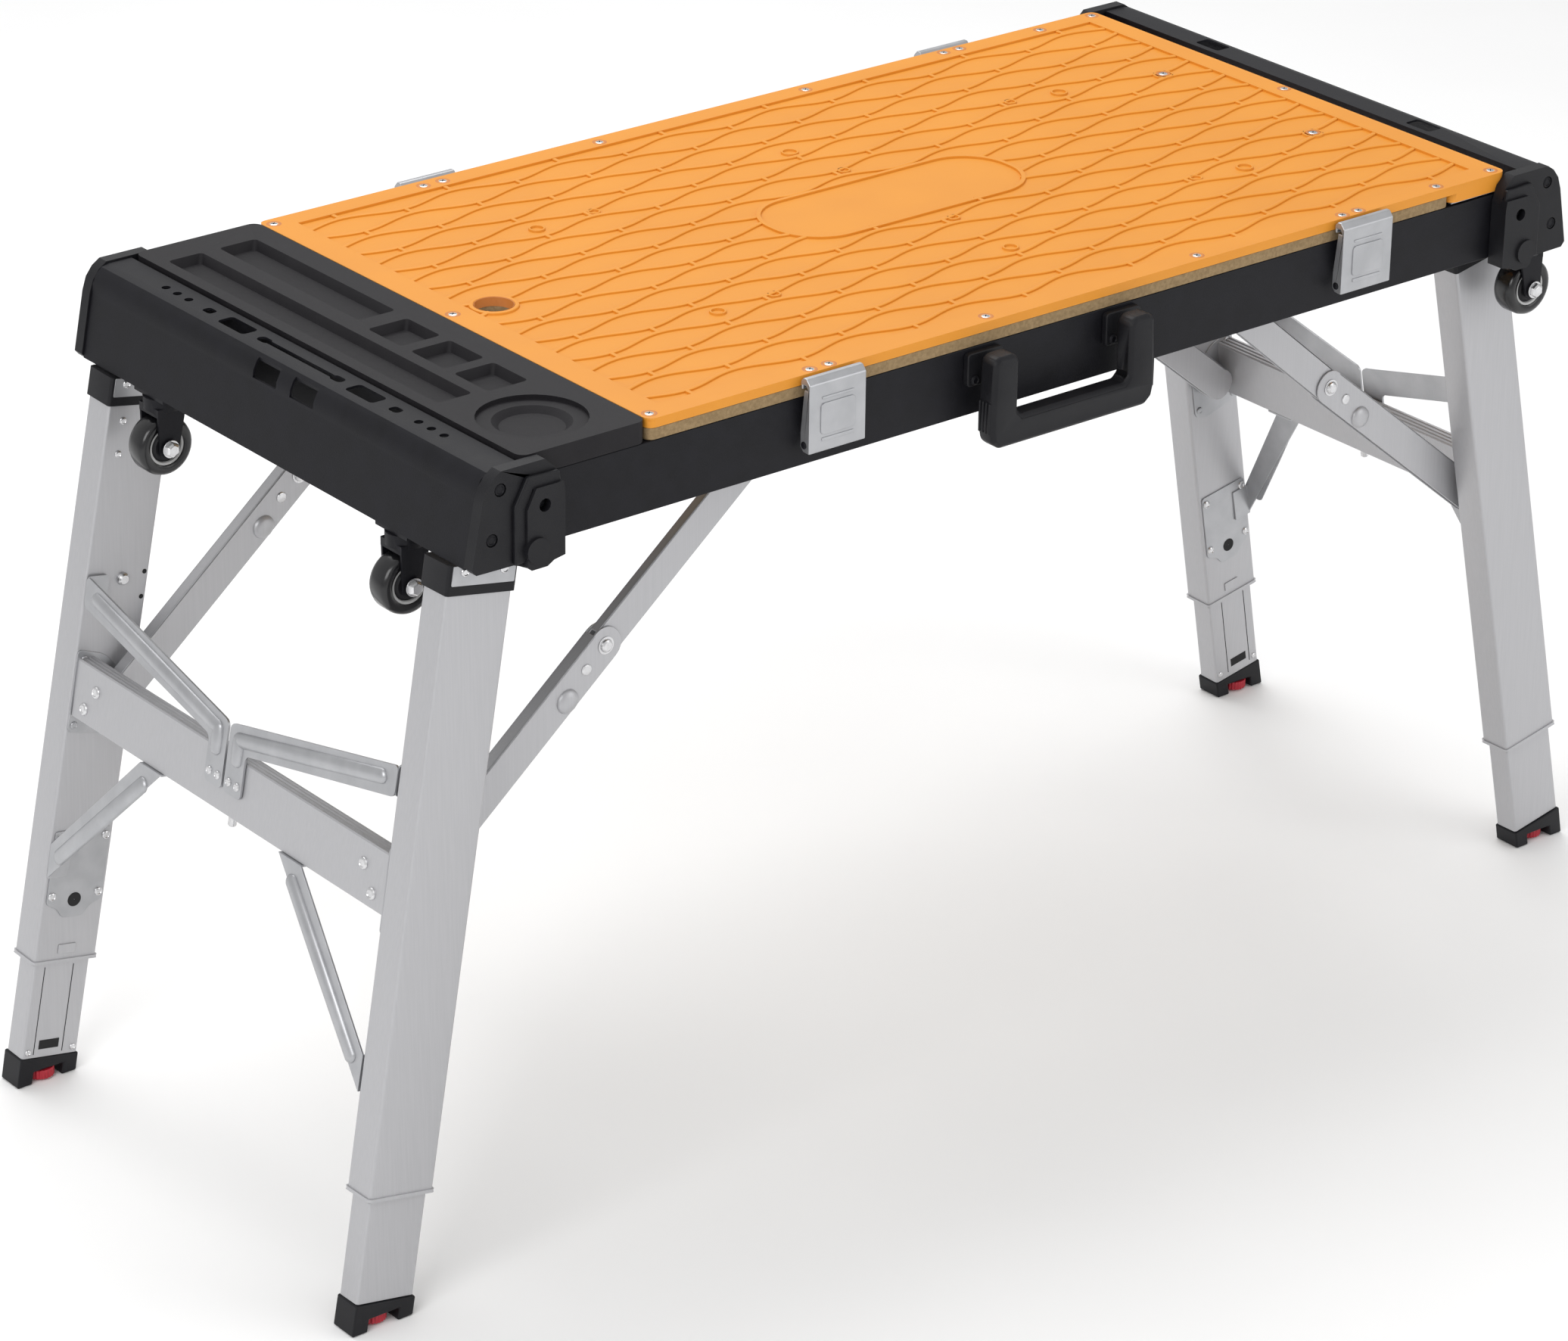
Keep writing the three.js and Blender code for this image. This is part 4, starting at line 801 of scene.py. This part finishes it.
# %% Rungs
PIN = [(0.1 * MM, 0), (2.9 * MM, 0), (2.9 * MM, 8.2 * MM), (2.2 * MM, 9 * MM), (0.1 * MM, 9 * MM)]
for side in SIDES:
    node = f"rung_{side}"
    softened(node, silver, 0.15 * MM, 1, 30)
    place = frame_place(side)
    way = SIDES[side]
    rivets = bmesh.new()
    pin = facing((way * 33.8 * MM, -4 * MM, -255.4 * MM), (1, 0, 0), (0, -1, 0), (0, 0, -1))
    turned(rivets, PIN, place @ pin, 20)
    for end in ENDS:
        reach = abs(joints[f"brace_fold_up_{end}_{side}"]["pos_m"][1]) - 7 * MM
        for inward, down in ((27, 230), (15, 246)):
            spot = (way * 40.8 * MM, ENDS[end] * (reach - inward * MM), -down * MM)
            local = placed(spot, (way, 0, 0), (0, 1, 0))
            button(rivets, 4.2 * MM, 1.8 * MM, place @ local, hollow=True)
    finished(rivets, f"rung_rivets_{side}", steel, body_of[node], "zinc_steel")
print("rungs:", len(SIDES), "half length of the last", round(reach, 4))

# %% [markdown]
# The struts are pressed from zinc sheet: a flat arm with a deep bead down its middle that stiffens
# it. The arms of the upper strut are two mirrored pieces that meet at the rung, so each is drawn as
# its own outline, with a bead along the arm, a bead at the tail and two rivets in its tab.

# %% Upper struts
STRUT_BACK = 41.4 * MM  # how far outboard of the hinge line the sheet of a strut lies
STRUT_FACE = 42.8 * MM
for side in SIDES:
    node = f"upper_strut_{side}"
    way = SIDES[side]
    place = frame_place(side)
    reach = abs(joints[f"brace_fold_up_front_{side}"]["pos_m"][1]) - 10.2 * MM
    for end in ENDS:
        arm = bmesh.new()
        out = facing((way * STRUT_BACK, 0, 0), (0, ENDS[end], 0), (0, 0, 1), (way, 0, 0))
        points = [(1.2, -240), (21, -240), (21, -209), (reach / MM, -176.5), (reach / MM, -155.5),
                  (12, -190.5), (1.2, -193)]
        plate(arm, [(x * MM, z * MM) for x, z in points], 1.6 * MM, place @ out, 4 * MM)
        start, stop = Vector((12 * MM, -201 * MM)), Vector((reach - 14 * MM, -167.5 * MM))
        span = stop - start
        spot = placed((way * STRUT_FACE, ENDS[end] * (start.x + stop.x) / 2, (start.y + stop.y) / 2),
                      (way, 0, 0), (0, ENDS[end] * span.x, span.y))
        bead(arm, span.length + 8 * MM, 11 * MM, 3.2 * MM, place @ spot)
        spot = placed((way * STRUT_FACE, ENDS[end] * 12 * MM, -208 * MM), (way, 0, 0), (0, 0, 1))
        bead(arm, 24 * MM, 11 * MM, 3.2 * MM, place @ spot)
        flange = facing((way * 26 * MM, ENDS[end] * (reach + 0.1 * MM), -166 * MM), (way, 0, 0), (0, 0, 1),
                        (0, -ENDS[end], 0))
        plate(arm, rectangle((0, 16.5 * MM), (-10.5 * MM, 10.5 * MM)), 1.5 * MM, place @ flange, 3 * MM)
        piece = finished(arm, f"upper_strut_{end}_{side}_look", zinc, body_of[node], "zinc_steel",
                         0.4 * MM, 2, 40)
        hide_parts(node)
        rivets = bmesh.new()
        for y in (6.5, 16):
            spot = placed((way * 42.9 * MM, ENDS[end] * y * MM, -232 * MM), (way, 0, 0), (0, 1, 0))
            button(rivets, 2.9 * MM, 1.5 * MM, place @ spot, hollow=True)
        finished(rivets, f"upper_strut_rivets_{end}_{side}", steel, body_of[node], "zinc_steel")
print("upper strut arms:", len(CORNERS), "length of the last bead", round(span.length, 4))

# %% [markdown]
# The lower struts run from under the rung out to the legs and are pressed in the same way.

# %% Lower struts
for end, side in CORNERS:
    node = f"lower_strut_{end}_{side}"
    softened(node, zinc, 0.4 * MM, 2)
    way, far = SIDES[side], ENDS[end]
    place = frame_place(side)
    reach = abs(joints[f"brace_fold_up_{end}_{side}"]["pos_m"][1]) - 6 * MM
    start, stop = Vector((86 * MM, -268 * MM)), Vector((reach - 10 * MM, -356 * MM))
    span = stop - start
    spot = placed((way * STRUT_FACE, far * (start.x + stop.x) / 2, (start.y + stop.y) / 2), (way, 0, 0),
                  (0, far * span.x, span.y))
    press = bmesh.new()
    bead(press, span.length + 6 * MM, 12 * MM, 3.2 * MM, place @ spot)
    finished(press, f"lower_strut_bead_{end}_{side}", zinc, body_of[node], "zinc_steel")
print("lower struts:", len(CORNERS), "length of the last bead", round(span.length, 4))

# %% [markdown]
# A brace is two steel channels that fold at a knuckle: the lower one is wider and takes the upper
# one between its walls. Each wall is a long plate with round ends, and a web joins the two on top.
# Near the knuckle the lower channel carries the knuckle's rivet, a low rivet and a pressed dome.

# %% Braces
LINK_RADIUS = 12.4  # half the height of a lower link, in millimetres
UPPER_HALF = 11.4
for end, side in CORNERS:
    far, way = ENDS[end], SIDES[side]
    up_node, low_node = f"brace_upper_{end}_{side}", f"brace_lower_{end}_{side}"
    hanger = Vector(joints[f"brace_fold_up_{end}_{side}"]["pos_m"])
    foot = Vector(joints[f"brace_fold_low_{end}_{side}"]["pos_m"])
    up_box, low_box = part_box(up_node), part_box(low_node)
    knee_x = (up_box[1].x if way > 0 else up_box[0].x) - way * LINK_RADIUS * MM
    knee = Vector((knee_x, 0, up_box[0].z + LINK_RADIUS * MM))
    outer_y = abs(foot.y) - 12.8 * MM
    links = ((low_node, foot, knee, outer_y, outer_y - 10 * MM, LINK_RADIUS),
             (up_node, knee, hanger, outer_y - 1.6 * MM, outer_y - 8.6 * MM, UPPER_HALF))
    for node, a, b, y0, y1, half in links:
        run = Vector((b.x - a.x, 0, b.z - a.z))
        length = run.length
        web_up = Vector((way * abs(run.z), 0, abs(run.x))).normalized()
        channel = bmesh.new()
        for y, normal in ((y0, -far), (y1 + 1.4 * MM, -far)):
            spot = placed((a.x, far * y, a.z), (0, normal, 0), run)
            ends = rectangle((-half * MM, length + half * MM), (-half * MM, half * MM))
            plate(channel, ends, 1.4 * MM, spot, (half - 0.6) * MM)
        spot = placed(Vector((a.x, far * (y0 + y1) / 2, a.z)) + web_up * (half - 1.4) * MM, web_up, run)
        wide = (y0 - y1) / 2
        plate(channel, rectangle((2 * MM, length - 1 * MM), (-wide, wide)), 1.4 * MM, spot)
        piece = finished(channel, node + "_look", silver, body_of[node], "zinc_steel", 0.5 * MM, 2)
        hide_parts(node)
    rivets = bmesh.new()
    run = Vector((knee.x - foot.x, 0, knee.z - foot.z)).normalized()
    for near in (1, -1):
        y = outer_y + 0.1 * MM if near > 0 else outer_y - 10.1 * MM
        spot = placed((knee.x, far * y, knee.z), (0, far * near, 0), run)
        turned(rivets, [(0.2 * MM, 0), (6 * MM, 0), (6 * MM, 0.5 * MM), (0.2 * MM, 0.5 * MM)], spot, 28)
        button(rivets, 4.6 * MM, 2.6 * MM, spot, sides=24)
        back = knee - run * 20 * MM
        low_spot = placed((back.x, far * y, back.z), (0, far * near, 0), run)
        button(rivets, 3.8 * MM, 1.0 * MM, low_spot, sides=24)
    finished(rivets, f"brace_rivets_{end}_{side}", steel, body_of[low_node], "zinc_steel")
    dome = bmesh.new()
    for near in (1, -1):
        y = outer_y if near > 0 else outer_y - 10 * MM
        back = knee - run * 43 * MM - Vector((way * abs(run.z), 0, abs(run.x))) * 4 * MM
        bead(dome, 17 * MM, 16 * MM, 3.6 * MM, placed((back.x, far * y, back.z), (0, far * near, 0), run))
    finished(dome, f"brace_dome_{end}_{side}", silver, body_of[low_node], "zinc_steel")
print("from foot to knuckle of the last brace:", round(math.dist((knee.x, knee.z), (foot.x, foot.z)), 4))
print("height of its lower link:", round(low_box[1].z - low_box[0].z, 4))

# %% [markdown]
# A plain pale floor and soft light from large lamps, as for a catalogue: one high in front on the
# left, one on the right to open the shadows and one overhead. The world adds an even white fill.

# %% Floor and light
studio = bmesh.new()
bmesh.ops.create_grid(studio, x_segments=1, y_segments=1, size=12)
mesh = bpy.data.meshes.new("floor")
studio.to_mesh(mesh)
studio.free()
floor = bpy.data.objects.new("floor", mesh)
floor.location.z = -0.4 * MM
bpy.context.collection.objects.link(floor)
pale_floor = finish("pale_floor", (0.96, 0.96, 0.96), (0.98, 0.98, 0.98), 0.8, 0, 3, 60, 0.02, shine=0.2)
mesh.materials.append(pale_floor)
floor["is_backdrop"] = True
world = bpy.data.worlds.new("studio")
bpy.context.scene.world = world
world.use_nodes = True
world.node_tree.nodes["Background"].inputs["Color"].default_value = (1, 1, 1, 1)
world.node_tree.nodes["Background"].inputs["Strength"].default_value = 0.68


def lamp(name, place, aim, size, power):
    data = bpy.data.lights.new(name, "AREA")
    data.size = size
    data.energy = power
    light = bpy.data.objects.new(name, data)
    light.location = place
    light.rotation_mode = "QUATERNION"
    light.rotation_quaternion = (Vector(aim) - Vector(place)).to_track_quat("-Z", "Y")
    bpy.context.collection.objects.link(light)


lamp("key", (-2.6, -1.2, 2.0), (0, 0, 0.4), 1.6, 34)
lamp("fill", (1.6, -2.8, 1.4), (0, 0, 0.3), 2.0, 20)
lamp("top", (0.3, 1.2, 2.8), (0, 0, 0.5), 2.0, 40)
print("lamps:", len(bpy.data.lights))

# %% [markdown]
# The camera looks down along the bench from the tray end. A long lens keeps the far end from
# shrinking much. Its roll is small, so it is made by turning the camera's own right and up axes.

# %% Camera
azimuth, elevation, roll = math.radians(-38.943), math.radians(25.145), math.radians(0.766)
spread = math.cos(elevation)
back = Vector((math.sin(azimuth) * spread, -math.cos(azimuth) * spread, math.sin(elevation)))
right = (-back).cross(Vector((0, 0, 1))).normalized()
up = right.cross(-back)
right_turned = right * math.cos(roll) + up * math.sin(roll)
up_turned = up * math.cos(roll) - right * math.sin(roll)
view = bpy.data.cameras.new("camera")
view.sensor_width = 36
view.lens = 127.84
view.clip_end = 60
camera = bpy.data.objects.new("camera", view)
camera.matrix_world = Matrix.Translation((-2.2563, -2.7358, 1.8943)) @ Matrix(
    (right_turned, up_turned, back)).transposed().to_4x4()
bpy.context.collection.objects.link(camera)
bpy.context.scene.camera = camera
bpy.context.scene.view_settings.view_transform = "Standard"
print("lens:", round(view.lens, 2), "mm")

# %% Sizes
look_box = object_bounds()
print("cad ", [round(v, 4) for p in cad_box for v in p])
print("look", [round(v, 4) for p in look_box for v in p])
